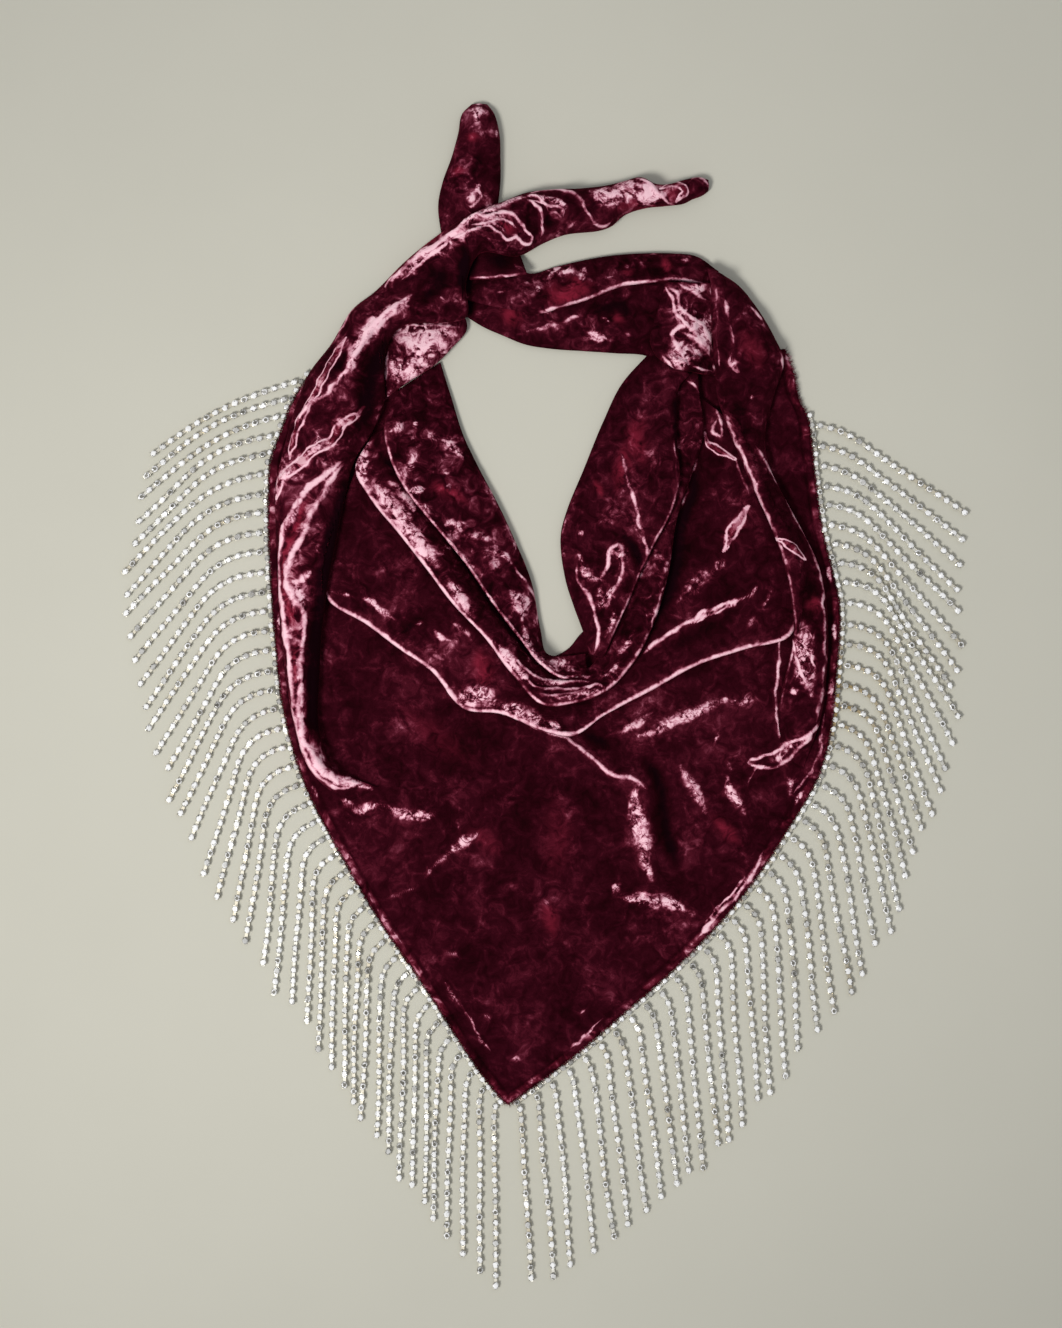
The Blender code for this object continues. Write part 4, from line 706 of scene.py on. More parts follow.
class Pile:
    """The height of every piece laid so far, on a grid over the table."""

    LOW = np.array([-140.0, -200.0])
    SHAPE = (500, 300)

    def __init__(self):
        self.height = np.zeros(self.SHAPE)

    def cell(self, places):
        column, row = ((places[..., :2] - self.LOW) / CELL).astype(int).T
        return row.T, column.T

    def add(self, points):
        height = np.zeros(self.SHAPE)
        np.maximum.at(height, self.cell(points), points[:, 2])
        spread = [np.roll(height, (i, j), (0, 1)) for i in (-1, 0, 1) for j in (-1, 0, 1)]
        self.height = np.maximum(self.height, np.max(spread, axis=0))

    def clear_height(self, places):
        """The lowest that an underside may lie at some places."""
        top = self.height[self.cell(places)]
        return np.where(top > 0, top + GAP, 0.0)


class Marks:
    """What the creases give to some places: lift, how far each place is from the bright marks of painted
    highlight, and their painted sheen and painted shade.
    """

    KINDS = ("line", "pair", "band")

    def __init__(self, count):
        self.lift = np.zeros(count)
        self.values = {kind: np.full(count, FAR) for kind in self.KINDS}
        self.values.update({kind: np.zeros(count) for kind in ("glow", "shade", "blush")})

    def add(self, kind, near, share, height, shine, fade):
        """One crease: share is the distance over its half width, fade falls to 0 at its ends."""
        swell = np.exp(-(share**2))
        self.lift[near] += height * swell * fade
        if kind in self.KINDS:
            strength = FADE_LOSS * (1 - fade) + DULL_LOSS * (1 - shine)
            field = self.values[kind]
            field[near] = np.minimum(field[near], share**2 + strength)
        if kind == "pair":
            blush = self.values["blush"]
            blush[near] = np.maximum(blush[near], swell * shine * fade * PAIR_PALE_SHEEN)
            kind, shine = "glow", shine * PAIR_RED_SHEEN
        if kind in ("glow", "dark", "blush"):
            field = self.values["shade" if kind == "dark" else kind]
            field[near] = np.maximum(field[near], swell * shine * fade)


def read_creases(rows):
    """Creases from the words of a table: each begins with its kind."""
    creases = []
    for word in rows.split():
        if word.isalpha():
            creases.append([word])
        elif "," in word:
            creases[-1].append([float(number) for number in word.split(",")])
        else:
            creases[-1].append(float(word))
    return [Crease(kind, width, height, shine, path) for kind, width, height, shine, *path in creases]


def add_creases(marks, places, name):
    """The creases of one piece, each straying a little from its path."""
    wander = WANDER * np.column_stack([noise(places, WANDER_SWELL, seed) for seed in (31, 32)])
    for crease in read_creases(CREASES[name]):
        path = smooth(crease.path, steps=5)
        reach = 3 * crease.width + 1
        low, high = path.min(axis=0) - reach, path.max(axis=0) + reach
        near = np.flatnonzero(np.all((places[:, :2] > low) & (places[:, :2] < high), axis=1))
        here = places[near, :2] + wander[near]
        away = np.full(len(near), 1e9)
        gone = np.zeros(len(near))
        far = lengths(path)
        for start, end, done in zip(path[:-1], path[1:], far):
            run = end - start
            share = np.clip((here - start) @ run / (run @ run), 0, 1)
            apart = np.linalg.norm(here - start - share[:, None] * run, axis=1)
            closer = apart < away
            away = np.where(closer, apart, away)
            gone = np.where(closer, done + share * np.linalg.norm(run), gone)
        taper = min(END_TAPER * crease.width, far[-1] / 2)
        fade = ease(np.minimum(gone, far[-1] - gone) / taper + END_SHARE)
        width = crease.width * (END_WIDTH + (1 - END_WIDTH) * fade)
        marks.add(crease.kind, near, away / width, crease.height, crease.shine, fade)


def add_rims(marks, share, along, width, rims):
    """Bright rims of a fold, their brightness painted highlights; share runs across it and along runs down
    it.
    """
    for rim in rims:
        away = np.abs((share if rim.side == 0 else 1 - share) * width - rim.inset)
        middle, half = (rim.start + rim.end) / 2, (rim.end - rim.start) / 2
        fade = ease((half - np.abs(along - middle)) / (RIM_TAPER * half) + RIM_SHARE)
        near = np.flatnonzero(fade > 0)
        marks.add("line", near, away[near] / rim.width, rim.height, rim.shine, fade[near])


def crushed(places, crush, seed):
    """Small swells of the crushed pile."""
    swells = [noise(places, size, seed + n) * rise for n, (size, rise) in enumerate(CRUSHED_SWELLS)]
    return crush * sum(swells)


def crown_shape(across, lean):
    """Shares across a stretch, close together at its sides, and the height of its round top."""
    share = (1 - np.cos(np.linspace(0, math.pi, across + 1))) / 2
    bent = share ** (math.log(0.5) / math.log(lean))
    return share, np.sqrt(np.clip(1 - (2 * bent - 1) ** 2, 0, None))


def grid_normals(points):
    """Upward unit normals of a grid of points."""
    normal = np.cross(np.gradient(points, axis=0), np.gradient(points, axis=1))
    normal *= np.sign(normal[..., 2:3] + 1e-9)
    return normal / np.maximum(np.linalg.norm(normal, axis=2, keepdims=True), 1e-9)


def closed_sheet(top, under):
    """Corners and faces of a body between a fine top grid and a coarser one under it."""
    rows, across, strips = top.shape[0], top.shape[1], under.shape[1]
    count = rows * across
    upper = np.arange(count).reshape(rows, across)
    lower = count + np.arange(rows * strips).reshape(rows, strips)
    faces = []
    for grid in (upper, lower[:, ::-1]):
        quads = np.stack([grid[:-1, :-1], grid[:-1, 1:], grid[1:, 1:], grid[1:, :-1]], axis=-1)
        faces += quads.reshape(-1, 4).tolist()
    for side, turn in ((0, 1), (-1, -1)):
        edge, foot = upper[:, side][::turn], lower[:, side][::turn]
        faces += np.column_stack([edge[:-1], edge[1:], foot[1:], foot[:-1]]).tolist()
    faces.append([*upper[0, ::-1], *lower[0]])
    faces.append([*upper[-1], *lower[-1, ::-1]])
    return np.vstack([top.reshape(-1, 3), under.reshape(-1, 3)]), faces


def add_piece(name, corners, faces, finish, nodes):
    """A mesh piece from corners in millimetres, riding on the part and standing for its solids."""
    mesh = bpy.data.meshes.new(name)
    mesh.from_pydata((corners * MILLIMETRE).tolist(), [], faces)
    mesh.validate()
    mesh.materials.append(finish)
    piece = bpy.data.objects.new(name, mesh)
    bpy.context.scene.collection.objects.link(piece)
    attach(piece, "root")
    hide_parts(*nodes)
    return piece


def point_values(mesh, name, values):
    """Gives each corner of a mesh a value that the materials can read."""
    made = mesh.attributes.new(name, "FLOAT", "POINT")
    made.data.foreach_set("value", values.astype(np.float32))


def add_cloth(name, top, under, marks, crush, finish, nodes):
    """A piece of velvet with its marks and how strongly it is crushed."""
    corners, faces = closed_sheet(top, under)
    piece = add_piece(name, corners, faces, finish, nodes)
    spare = len(corners) - len(crush)
    for label, values in {**marks.values, "crush": crush}.items():
        rest = np.full(spare, FAR if label in marks.KINDS else 0.0)
        point_values(piece.data, label, np.concatenate([values, rest]))
    piece.data.shade_smooth()
    return piece


def lay_stretch(name, stretch, pile, finish, seed):
    """A fold of velvet on whatever lies below it."""
    rows = smooth(stretch.sections, columns=[0, 1, 2, 3])
    middle = lengths((rows[:, 0:2] + rows[:, 2:4]) / 2)
    widest = np.linalg.norm(rows[:, 2:4] - rows[:, 0:2], axis=1).max()
    along, across = round(middle[-1] / FINE), round(widest * ROUND / FINE)
    distance = np.linspace(0, middle[-1], along + 1)
    cuts = at(rows, middle, distance)
    share, shape = crown_shape(across, stretch.lean)

    left, right = cuts[:, None, 0:2], cuts[:, None, 2:4]
    width = np.linalg.norm(right - left, axis=2)
    inset = np.minimum(stretch.tuck / width, MOST_TUCK)

    def spots(shares):
        return left + (right - left) * (inset + (1 - 2 * inset) * shares[None, :])[:, :, None]

    height = np.ones(along + 1)
    for sink, away in ((stretch.sink_start, distance), (stretch.sink_end, middle[-1] - distance)):
        if sink:
            height *= SUNK + (1 - SUNK) * ease(away / sink)
    ground = pile.clear_height(spots(share))
    base = ground
    for turn in range(3):
        base = np.maximum(ground, blur(base, (SETTLE / FINE, SETTLE / FINE / 2)))
    top = base + (cuts[:, 4:5] + cuts[:, 5:6] * shape[None, :]) * height[:, None]
    plan = left + (right - left) * share[None, :, None]
    surface = np.dstack([plan, top])

    flat = surface.reshape(-1, 3)
    across_share = np.tile(share, along + 1)
    along_share = np.repeat(distance / middle[-1], across + 1)
    widths = np.repeat(width[:, 0], across + 1)
    marks = Marks(len(flat))
    add_creases(marks, flat, name)
    edge = np.clip(np.minimum(across_share, 1 - across_share) * widths / CALM_EDGE, 0, 1)
    lift = (marks.lift + crushed(flat, stretch.crush, seed + 5)) * edge
    marks.lift[:] = 0
    add_rims(marks, across_share, along_share, widths, RIMS.get(name, []))
    lift += marks.lift * np.clip(edge * CALM_RIM, 0, 1)
    surface = surface + grid_normals(surface) * lift.reshape(top.shape)[:, :, None]
    surface[:, :, 2] = np.maximum(surface[:, :, 2], ground + LEAST_CLOTH)

    under_plan = spots(np.linspace(0, 1, UNDER_STRIPS + 1))
    under = np.dstack([under_plan, pile.clear_height(under_plan)])
    # how strongly the piece is crushed, with its painted light and shade added
    crush = np.full(len(flat), stretch.crush + PAINTED_PIECE_LIGHT.get(name, 0))
    piece = add_cloth(f"{name}_cloth", surface, under, marks, crush, finish, stretch.nodes)
    pile.add(surface.reshape(-1, 3))
    size = (round(width.mean() * MILLIMETRE * ROUND, 3), round(middle[-1] * MILLIMETRE, 3))
    return piece, size


def edge_path(points, spokes):
    """The places along a fringed edge where the front panel's strips end."""
    path = smooth(points)
    far = lengths(path)
    return at(path, far, np.linspace(0, far[-1], spokes + 1))


def swell_height(places):
    """How far the broad swells lift the front panel off the table."""
    height = np.zeros(len(places))
    for x1, y1, x2, y2, width, rise in PANEL_SWELLS:
        start, run = np.array([x1, y1]), np.array([x2 - x1, y2 - y1])
        share = np.clip((places - start) @ run / (run @ run), 0, 1)
        away = np.linalg.norm(places - start - share[:, None] * run, axis=1)
        height = np.maximum(height, rise * np.exp(-((away / width) ** 2)))
    return np.clip(height - SWELL_FLOOR, 0, None)


def lay_panel(pile, finish):
    """The flat front of the scarf, from its hidden border to its hemmed and fringed edges."""
    left = edge_path(LEFT_EDGE, SPOKES_LEFT * PANEL_SPLIT)
    right = edge_path(RIGHT_EDGE, SPOKES_RIGHT * PANEL_SPLIT)
    outer = np.vstack([left, right[-2::-1]])
    border = smooth(PANEL_BORDER)
    far = lengths(border)
    inner = at(border, far, np.linspace(0, far[-1], len(outer)))
    share = np.linspace(0, 1, PANEL_RINGS + 1)
    plan = inner[:, None] + (outer - inner)[:, None] * share[None, :, None]
    places = plan.reshape(-1, 2)
    radial = np.linalg.norm(outer - inner, axis=1)
    inside = ((1 - share)[None, :] * radial[:, None]).ravel()

    marks = Marks(len(places))
    add_creases(marks, places, "front_panel")
    lift = marks.lift + crushed(places, PANEL_CRUSH, 105) + swell_height(places)
    hem = HEM_RISE * ease((HEM - inside) / HEM_STEP)
    hem = hem - HEM_GROOVE * np.exp(-(((inside - HEM) / GROOVE_HALF) ** 2))
    hem += HEM_RUFFLE * noise(places, RUFFLE_SWELL, 108) * ease((HEM + 1 - inside) / 1.5)
    round_off = np.sqrt(np.clip(1 - (1 - np.clip(inside / EDGE_ROUND, 0, 1)) ** 2, 0, 1))
    top = np.maximum((WALL + lift + hem) * (EDGE_THIN + (1 - EDGE_THIN) * round_off), LEAST_PANEL)
    # painted shade in the stitched groove beside the hem, and patches of painted red and paler sheen on the
    # hem, partly its own paler pile
    groove = np.exp(-((inside - HEM - 0.4) ** 2))
    on_hem = ease(HEM - inside) * ease(0.5 + noise(places, HEM_SHEEN_PATCH, 109))
    for kind, least in (("shade", 0.3 * groove), ("glow", 0.2 * on_hem), ("blush", 0.4 * on_hem)):
        marks.values[kind] = np.maximum(marks.values[kind], least)
    surface = np.dstack([plan, top.reshape(plan.shape[:2])])
    under_share = np.linspace(0, 1, UNDER_STRIPS + 1)
    under_plan = inner[:, None] + (outer - inner)[:, None] * under_share[None, :, None]
    under = np.dstack([under_plan, np.zeros(under_plan.shape[:2])])
    crush = 0.5 + 0.5 * on_hem
    piece = add_cloth("front_panel_cloth", surface, under, marks, crush, finish, ["front_panel"])
    pile.add(surface.reshape(-1, 3))
    return piece


class Value:
    """A number that a material's nodes work out, for plain arithmetic."""

    def __init__(self, graph, socket):
        self.graph = graph
        self.socket = socket

    def __add__(self, other):
        return self.graph.math("ADD", self, other)

    def __sub__(self, other):
        return self.graph.math("SUBTRACT", self, other)

    def __rsub__(self, other):
        return self.graph.math("SUBTRACT", other, self)

    def __mul__(self, other):
        return self.graph.math("MULTIPLY", self, other)

    def __abs__(self):
        return self.graph.math("ABSOLUTE", self)

    def most(self, other):
        return self.graph.math("MAXIMUM", self, other)

    def root(self):
        return self.graph.math("SQRT", self)

    def clamped(self):
        """The same value, kept between 0 and 1."""
        self.socket.node.use_clamp = True
        return self

    def span(self, low, high, to_low=0.0, to_high=1.0):
        """The value taken softly from one span to another."""
        made = self.graph.node("ShaderNodeMapRange", Value=self)
        made.interpolation_type = "SMOOTHSTEP"
        limits = {"From Min": low, "From Max": high, "To Min": to_low, "To Max": to_high}
        for name, number in limits.items():
            made.inputs[name].default_value = number
        return Value(self.graph, made.outputs["Result"])


class Graph:
    """A material and its nodes."""

    def __init__(self, name):
        self.made = bpy.data.materials.new(name)
        self.made.use_nodes = True
        self.tree = self.made.node_tree
        self.shader = self.tree.nodes["Principled BSDF"]
        self.place = self.node("ShaderNodeTexCoord").outputs["Object"]

    def node(self, kind, **values):
        made = self.tree.nodes.new(kind)
        for socket, value in values.items():
            self.put(made.inputs[socket], value)
        return made

    def put(self, socket, value):
        """Sets a socket to a number or a colour, or joins it to another socket."""
        if isinstance(value, (int, float, tuple)):
            socket.default_value = value
        else:
            self.tree.links.new(value.socket if isinstance(value, Value) else value, socket)

    def set(self, **values):
        for name, value in values.items():
            self.put(self.shader.inputs[name.replace("_", " ")], value)

    def math(self, kind, *values):
        made = self.tree.nodes.new("ShaderNodeMath")
        made.operation = kind
        for socket, value in zip(made.inputs, values):
            self.put(socket, value)
        return Value(self, made.outputs[0])

    def noise(self, scale, detail, roughness, distortion):
        values = {"Scale": scale, "Detail": detail, "Roughness": roughness, "Distortion": distortion}
        made = self.node("ShaderNodeTexNoise", Vector=self.place, **values)
        return Value(self, made.outputs["Fac"])

    def attribute(self, name):
        made = self.tree.nodes.new("ShaderNodeAttribute")
        made.attribute_name = name
        return Value(self, made.outputs["Fac"])

    def ramp(self, value, stops):
        """A colour ramp with rising stops, each a position and a linear colour."""
        made = self.node("ShaderNodeValToRGB", Fac=value)
        ramp = made.color_ramp
        first, *between, last = stops
        for number, (position, colour) in enumerate([first, last, *between]):
            stop = ramp.elements[number] if number < 2 else ramp.elements.new(position)
            stop.position = position
            stop.color = (*colour, 1)
        return made.outputs["Color"]

    def mix(self, share, first, second):
        made = self.tree.nodes.new("ShaderNodeMix")
        made.data_type = "RGBA"
        for socket, value in zip((made.inputs["Factor"], *made.inputs[6:8]), (share, first, second)):
            self.put(socket, value)
        return made.outputs[2]


def velvet_material():
    """Crushed velvet: near black with painted shade in its depths, wine red, and pale pink painted
    highlights, partly where the pile is laid flat.
    """
    g = Graph("crushed_velvet")
    broad = g.noise(38.0, 4.0, 0.6, 0.6)
    uneven = g.noise(105.0, 3.0, 0.55, 0.5)
    crush = g.noise(170.0, 4.0, 0.6, 1.0)
    ragged = g.noise(300.0, 2.5, 0.55, 0.9)
    pile = g.noise(1500.0, 3.0, 0.6, 0.0)
    crush_and_painted_tone = g.attribute("crush")
    shade = g.attribute("shade")

    # dark ground with reddish mottling, stronger where the cloth is more crushed and where a piece takes
    # painted light, darkened by painted shade in the troughs
    ground = broad * 0.9 - 0.12 + (crush - 0.5) * (crush_and_painted_tone * 0.9 + 0.35)
    ground = ground + (pile * 0.18 - 0.09) - shade * 0.42
    blotch = g.noise(62.0, 4.0, 0.6, 1.0).span(0.50, 0.66) * ragged.span(0.36, 0.6)
    ground = ground + blotch * (crush_and_painted_tone * 0.30)

    # gaps and veins in the painted highlights of the bright swells
    vein = abs(g.noise(200.0, 2.0, 0.5, 1.4) - 0.5).span(0.05, 0.0)
    furrow = abs(g.noise(150.0, 2.0, 0.5, 1.8) - 0.5).span(0.06, 0.01)
    fill = (crush.span(0.38, 0.58, 0.36, 1.0) + vein * 0.30 - furrow * 0.42).clamped()

    # painted highlights of uneven width, partly the pile's own paler lay, with ragged edges and a soft halo
    line_field, pair_field, band_field = [g.attribute(kind) for kind in Marks.KINDS]
    thick = uneven * -5.0 + 2.5
    wave = ragged * -3.0 + 1.5
    line = (line_field + (thick + wave) * 0.5).span(1.5, -0.35)
    pair = (pair_field + (thick + wave) * 0.35).most(0.0).root()
    flank = abs(pair - 0.95).span(0.45, 0.05) * uneven.span(0.36, 0.52, 0.55, 1.0)
    band = (band_field + (thick * 0.4 + wave)).span(2.1, -0.2) * fill
    halo = line_field.span(7.0, 0.5).most(band_field.span(4.5, 0.5))
    mark = (line.most(flank).most(band) * 0.95 + halo * 0.12).clamped()

    # paler painted sheen of the creases, partly the pile's own paler lay
    ground = (ground + g.attribute("blush") * crush.span(0.36, 0.62, 0.06, 0.62)).clamped()
    value = mark * (1.0 - ground) + ground
    # painted red sheen of the creases, and painted bluish shade in their troughs
    red = (g.attribute("glow") * (crush - mark * 0.9).span(0.25, 0.62) * 0.85).clamped()
    painted_shade_tint = shade.span(0.25, 1.0, 0.0, 0.55) * mark.span(0.25, 0.0)
    colour = g.mix(red, g.ramp(value, VELVET_TONES), VELVET_SHEEN_RED)
    colour = g.mix(painted_shade_tint, colour, VELVET_SHADE_TINT)
    g.set(Base_Color=colour, Roughness=value.span(0.4, 0.95, 0.9, 0.45))
    g.set(Specular_IOR_Level=0.02, Sheen_Weight=0.12, Sheen_Roughness=0.35, Sheen_Tint=(0.8, 0.05, 0.12, 1))

    relief = crush * 0.7 + pile * 0.2
    bump = g.node("ShaderNodeBump", Strength=0.6, Distance=0.0012, Height=relief)
    g.set(Normal=bump.outputs["Normal"])
    return g.made


def stone_material():
    """Clear foil-backed stones: each facet takes its own painted brightness, standing for its reflections.
    """
    g = Graph("rhinestone")
    colour = g.ramp(g.attribute("glint"), STONE_REFLECTION_TONES)
    g.set(Base_Color=colour, Roughness=0.15, Coat_Weight=0.5, Coat_Roughness=0.05)
    return g.made


def claw_material():
    """Plated cups, worn to a warmer metal in places."""
    g = Graph("claw_metal")
    warm = (g.noise(28.0, 3.0, 0.6, 0.0) + g.attribute("brass")).clamped()
    g.set(Base_Color=g.ramp(warm, PLATING_TONES), Metallic=1.0, Roughness=0.36)
    return g.made


def floor_material():
    """Pale plain tabletop with the slightest unevenness."""
    g = Graph("table_top")
    colour = g.ramp(g.noise(6.0, 4.0, 0.6, 0.0), TABLE_TONES)
    g.set(Base_Color=colour, Roughness=0.9, Specular_IOR_Level=0.1)
    return g.made


def ring(count, radius, height, turn=0.0):
    """Corners of a level polygon."""
    angle = (np.arange(count) + turn) * 2 * math.pi / count
    return np.column_stack([radius * np.cos(angle), radius * np.sin(angle), np.full(count, height)])


def band_faces(low, high, count):
    """Triangles between two rings of which the upper one is turned by half a step."""
    faces = []
    for k in range(count):
        after = (k + 1) % count
        faces += [(low + k, low + after, high + k), (low + after, high + after, high + k)]
    return faces


def stone_shape():
    """A cut stone of radius 1: girdle, two rows of crown facets and a table."""
    corners = np.vstack([ring(8, 1, 0), ring(8, 0.82, 0.28, 0.5), ring(8, 0.52, 0.46, 1.0)])
    faces = band_faces(0, 8, 8) + band_faces(8, 16, 8)
    faces += [tuple(range(16, 24)), tuple(range(7, -1, -1))]
    return corners, faces


def cup_shape():
    """A claw cup for a stone of radius 1: a tapered wall, a floor and four claws over the girdle."""
    low, high = ring(8, 0.74, -1.0), ring(8, 0.96, -0.05)
    corners = np.vstack([low, high])
    faces = [(k, (k + 1) % 8, 8 + (k + 1) % 8, 8 + k) for k in range(8)]
    faces += [tuple(range(7, -1, -1)), tuple(range(8, 16))]
    for k in range(4):
        angle = (k + 0.5) * math.pi / 2
        out = np.array([math.cos(angle), math.sin(angle), 0])
        side = np.array([-out[1], out[0], 0]) * 0.13
        foot = out * 1.02 + (0, 0, -0.3)
        tip = out * 0.76 + (0, 0, 0.36)
        back = out * 1.08 + (0, 0, 0.10)
        start = len(corners)
        corners = np.vstack([corners, foot - side, foot + side, back - side, back + side, tip])
        faces += [
            (start, start + 1, start + 3, start + 2), (start + 2, start + 3, start + 4),
            (start + 1, start, start + 4), (start, start + 2, start + 4), (start + 3, start + 1, start + 4),
        ]
    return corners, faces


def link_shape():
    """A bar of unit length between two cups."""
    corners = np.array([(x, y, z) for x in (-0.5, 0.5) for y in (-0.3, 0.3) for z in (-0.25, 0.25)])
    faces = [(0, 1, 3, 2), (4, 6, 7, 5), (0, 4, 5, 1), (2, 3, 7, 6), (0, 2, 6, 4), (1, 5, 7, 3)]
    return corners, faces


def array_of(shape, places, turns, sizes):
    """One shape repeated: where it stands, how it is turned and its size along its three axes."""
    corners, faces = shape
    scaled = corners[None] * sizes[:, None]
    made = np.einsum("nij,nkj->nki", turns, scaled) + places[:, None]
    count = len(corners)
    joined = [[i + count * n for i in face] for n in range(len(places)) for face in faces]
    return made.reshape(-1, 3), joined


def turned(heading, tilt_x, tilt_y):
    """Rotations that face along a heading in plan and lean by two small angles."""
    c, s = np.cos(heading), np.sin(heading)
    zero, one = np.zeros_like(c), np.ones_like(c)
    spin = np.stack([np.stack([c, -s, zero], -1), np.stack([s, c, zero], -1),
                     np.stack([zero, zero, one], -1)], -2)
    lean = np.stack([np.stack([one, zero, tilt_y], -1), np.stack([zero, one, -tilt_x], -1),
                     np.stack([-tilt_y, tilt_x, one], -1)], -2)
    return spin @ lean


def strand_line(root, side, strand):
    """Points and headings down one strand, from its header outward; side is -1 left, 1 right."""
    fine = np.linspace(0, 1, FINE_STEPS + 1)
    angle = np.radians(strand.leave + (strand.hang - strand.leave) * ease(fine / strand.bend))
    heading = np.column_stack([side * np.cos(angle), -np.sin(angle)])
    steps = (heading[:-1] + heading[1:]) / 2 * strand.length / FINE_STEPS
    return root + np.vstack([[0, 0], np.cumsum(steps, axis=0)]), heading


def header_stones(off_edge, length, rng):
    """The stones along the sewn edge, each as its place, heading, radius and painted brightness."""
    stones = []
    for k in range(int(length / HEADER_PITCH) + 1):
        sway = rng.uniform(-HEADER_SWAY, HEADER_SWAY)
        place, heading = off_edge(k * HEADER_PITCH, GAP + HEADER_WIDTH / 2 + sway)
        stones.append((*place, heading, HEADER_RADIUS, rng.uniform(*HEADER_STONE)))
    return stones


def strand_stones(root, side, strand, rng):
    """The stones down one strand; the first few may be turned aside and look dull, with a dimmer painted
    reflection.
    """
    line, heading = strand_line(root, side, strand)
    down = lengths(line)
    turned_aside = rng.integers(0, 6)
    sway = rng.uniform(*STRAND_SWAY)
    phase = rng.uniform(0, 6)
    stones = []
    for k in range(int(strand.length / STRAND_PITCH)):
        distance = (k + FIRST_STONE) * STRAND_PITCH + rng.uniform(-PITCH_SPREAD, PITCH_SPREAD)
        way = at(heading, down, [distance])[0]
        aside = np.array([-way[1], way[0]]) * sway * math.sin(distance / SWAY_LENGTH + phase)
        place = at(line, down, [distance])[0] + aside
        dull = k < turned_aside or rng.uniform() < DULL_CHANCE
        bright = rng.uniform(*(DULL_STONE if dull else BRIGHT_STONE))
        stones.append((*place, math.atan2(way[1], way[0]), STONE_RADIUS, bright))
    return stones


def fringe_chains(side, edge, table, start_from, rng):
    """The header chain of one fringe and then each of its strands."""
    path = smooth(edge)
    far = lengths(path)
    length = far[-1] - start_from
    table = np.array(table, float)

    def off_edge(distance, offset):
        distance += start_from
        place = at(path, far, [distance])[0]
        run = at(path, far, [min(distance + 1, far[-1])])[0] - at(path, far, [max(distance - 1, 0)])[0]
        run /= np.linalg.norm(run)
        return place + np.array([-run[1], run[0]]) * side * offset, math.atan2(run[1], run[0])

    chains = [header_stones(off_edge, length, rng)]
    for share in (np.arange(STRANDS) + 0.5) / STRANDS:
        strand = Strand(*at(table, table[:, 0], [share])[0])
        strand = strand._replace(hang=strand.hang + rng.uniform(-HANG_SPREAD, HANG_SPREAD),
                                 length=strand.length + rng.uniform(*LENGTH_SPREAD))
        root = off_edge(length * share, GAP + HEADER_WIDTH)[0]
        chains.append(strand_stones(root, side, strand, rng))
    return chains


def sized(radius, size):
    """Sizes for each radius: along and across against the radius, and one upward."""
    return np.column_stack([radius * size[0], radius * size[1], np.full(len(radius), size[2])])


def add_fringe(name, side, edge, table, start_from, finishes, seed):
    """The stones of one fringe as one piece and its cups and links as another."""
    rng = np.random.default_rng(seed)
    chains = fringe_chains(side, edge, table, start_from, rng)
    stones = np.vstack(chains)
    links = np.array([(*a[:2], *b[:2]) for chain in chains for a, b in zip(chain, chain[1:])])
    count = len(stones)
    radius = stones[:, 3]
    tilt = rng.normal(0, TILT, (2, count))
    turns = turned(stones[:, 2] + rng.uniform(-TURN, TURN, count), tilt[0], tilt[1])
    places = np.column_stack([stones[:, :2], np.full(count, GIRDLE_LEVEL)])
    corners, faces = array_of(stone_shape(), places, turns, sized(radius, STONE_SIZE))
    gems = add_piece(f"{name}_stones", corners, faces, finishes[0], [name])
    # each facet's painted reflection, bright or dull, scaled by its stone's painted brightness
    glint = gems.data.attributes.new("glint", "FLOAT", "FACE")
    facets = len(faces) // count
    shape = (count, facets)
    bright = rng.uniform(size=shape) < np.where(np.arange(facets) < RIM_FACETS, RIM_BRIGHT, TOP_BRIGHT)
    facet = np.where(bright, rng.uniform(*BRIGHT_FACET, shape), rng.uniform(*DULL_FACET, shape))
    glint.data.foreach_set("value", (facet * stones[:, 4:5]).ravel().astype(np.float32))

    cups, cup_faces = array_of(cup_shape(), places, turns, sized(radius, CUP_SIZE))
    run = links[:, 2:] - links[:, :2]
    every = np.ones(len(links))
    middles = np.column_stack([(links[:, :2] + links[:, 2:]) / 2, LINK_LEVEL * every])
    spans = np.linalg.norm(run, axis=1) - LINK_GAP * STONE_RADIUS
    link_turns = turned(np.arctan2(run[:, 1], run[:, 0]), 0 * every, 0 * every)
    link_sizes = np.column_stack([spans, LINK_WIDTH * every, LINK_HEIGHT * every])
    bars, bar_faces = array_of(link_shape(), middles, link_turns, link_sizes)
    bar_faces = [[i + len(cups) for i in face] for face in bar_faces]
    corners = np.vstack([cups, bars])
    claws = add_piece(f"{name}_cups", corners, cup_faces + bar_faces, finishes[1], [name])
    away = np.linalg.norm(corners[:, :2] - BRASSY_SPOT, axis=1)
    point_values(claws.data, "brass", BRASSY * np.exp(-((away / BRASSY_REACH) ** 2)))
    return [gems, claws]


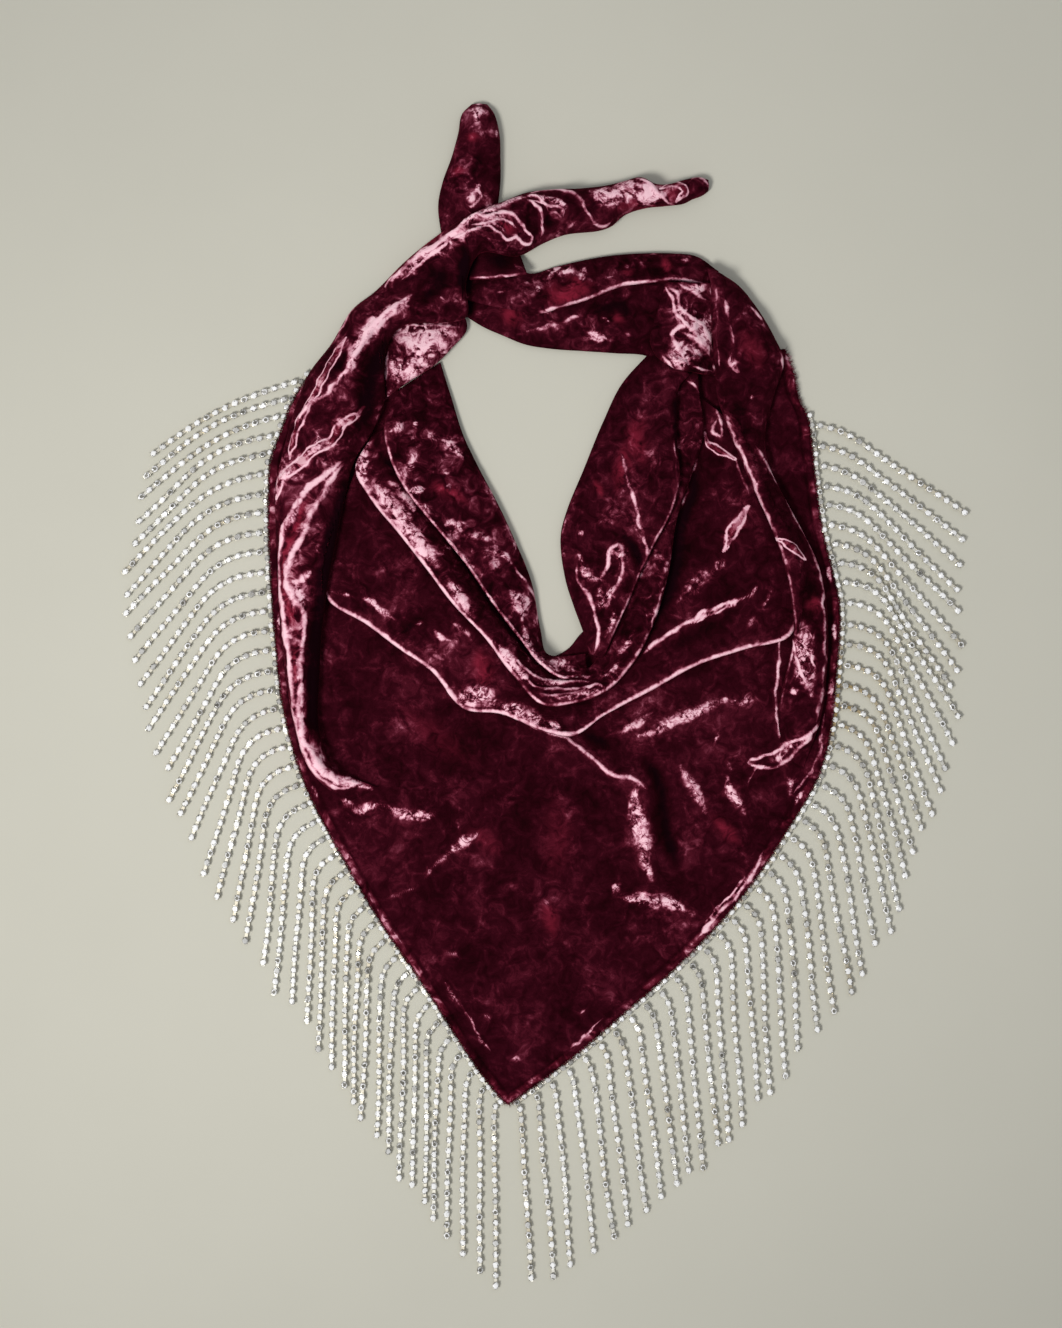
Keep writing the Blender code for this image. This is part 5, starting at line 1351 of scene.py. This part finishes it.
def add_hem_pile(finish):
    """Loose fibres of the pile that stand out along the fringed edges."""
    rng = np.random.default_rng(77)
    corners, faces = [], []
    for edge, side in ((LEFT_EDGE, -1), (RIGHT_EDGE, 1)):
        path = smooth(edge)
        far = lengths(path)
        for distance in np.arange(0.5, far[-1] - 0.5, FIBRE_STEP):
            place = at(path, far, [distance])[0]
            run = at(path, far, [distance + 0.4])[0] - at(path, far, [distance - 0.4])[0]
            run /= np.linalg.norm(run)
            out = np.array([-run[1], run[0]]) * side
            lean = rng.normal(0, FIBRE_LEAN)
            reach = rng.uniform(*FIBRE_REACH)
            foot = place - out * FIBRE_ROOT
            tip = foot + (out + run * lean) * (reach + FIBRE_ROOT)
            height = rng.uniform(*FIBRE_HEIGHT)
            start = len(corners)
            corners += [(*(foot - run * FIBRE_HALF), height), (*(foot + run * FIBRE_HALF), height),
                        (*foot, height + 0.2), (*tip, height + rng.uniform(*FIBRE_DRIFT))]
            faces += [(start, start + 1, start + 3), (start + 1, start + 2, start + 3),
                      (start + 2, start, start + 3), (start, start + 2, start + 1)]
    corners = np.array(corners)
    piece = add_piece("hem_pile", corners, faces, finish, [])
    # painted highlights on a share of the fibres, and painted red sheen on all of them
    bright = rng.uniform(size=len(corners) // 4).repeat(4) < HIGHLIT_FIBRES
    for kind in Marks.KINDS:
        value = np.where(bright, 1.0, FAR) if kind == "line" else np.full(len(corners), FAR)
        point_values(piece.data, kind, value)
    point_values(piece.data, "crush", np.ones(len(corners)))
    point_values(piece.data, "glow", np.full(len(corners), 0.3))
    return piece


def add_stage():
    """The tabletop."""
    mesh = bpy.data.meshes.new("table")
    half = 4.0
    corners = [(-half, -half, 0), (half, -half, 0), (half, half, 0), (-half, half, 0)]
    mesh.from_pydata(corners, [], [(0, 1, 2, 3)])
    mesh.materials.append(floor_material())
    table = bpy.data.objects.new("table", mesh)
    table.location.z = -0.0002
    bpy.context.scene.collection.objects.link(table)


def face_point(lamp, place, target):
    """Stands a lamp at a place and turns it to a target."""
    lamp.location = place
    lamp.rotation_mode = "QUATERNION"
    lamp.rotation_quaternion = (Vector(target) - Vector(place)).to_track_quat("-Z", "Y")
    bpy.context.scene.collection.objects.link(lamp)


def add_lights_and_camera():
    """Soft light from the lower left, a faint fill and the camera straight above."""
    key = bpy.data.lights.new("key", "SPOT")
    key.energy = 200
    key.spot_size = math.radians(34)
    key.spot_blend = 1.0
    key.shadow_soft_size = 0.4
    key.color = (1.0, 0.99, 0.965)
    face_point(bpy.data.objects.new("key", key), (-1.1, -0.85, 2.0), (-0.10, 0.02, 0))
    fill = bpy.data.lights.new("fill", "AREA")
    fill.energy = 5
    fill.size = 1.6
    fill.color = (0.95, 0.97, 1.0)
    face_point(bpy.data.objects.new("fill", fill), (0.6, 0.9, 1.9), (0, 0, 0))
    world = bpy.data.worlds.new("studio")
    world.use_nodes = True
    world.node_tree.nodes["Background"].inputs["Color"].default_value = (0.95, 0.96, 1.0, 1)
    world.node_tree.nodes["Background"].inputs["Strength"].default_value = 0.34
    bpy.context.scene.world = world
    bpy.context.scene.view_settings.view_transform = "Standard"

    lens = bpy.data.cameras.new("camera")
    lens.lens = LENS
    lens.sensor_width = SENSOR
    height = VIEW_HEIGHT * MILLIMETRE / 2 / (SENSOR / 2 / LENS)
    camera = bpy.data.objects.new("camera", lens)
    camera.location = (VIEW_CENTRE[0] * MILLIMETRE, VIEW_CENTRE[1] * MILLIMETRE, height)
    bpy.context.scene.collection.objects.link(camera)
    bpy.context.scene.camera = camera


def main():
    velvet = velvet_material()
    pile = Pile()
    panel = lay_panel(pile, velvet)
    for seed, (name, stretch) in enumerate(STRETCHES.items()):
        cloth, size = lay_stretch(name, stretch, pile, velvet, 200 + 20 * seed)
    finishes = stone_material(), claw_material()
    trims = [add_hem_pile(velvet)]
    trims += add_fringe("fringe_left", -1, LEFT_EDGE, LEFT_STRANDS, 0, finishes, 11)
    trims += add_fringe("fringe_right", 1, RIGHT_EDGE, RIGHT_STRANDS, RIGHT_FRINGE_FROM, finishes, 12)
    add_stage()
    add_lights_and_camera()


main()
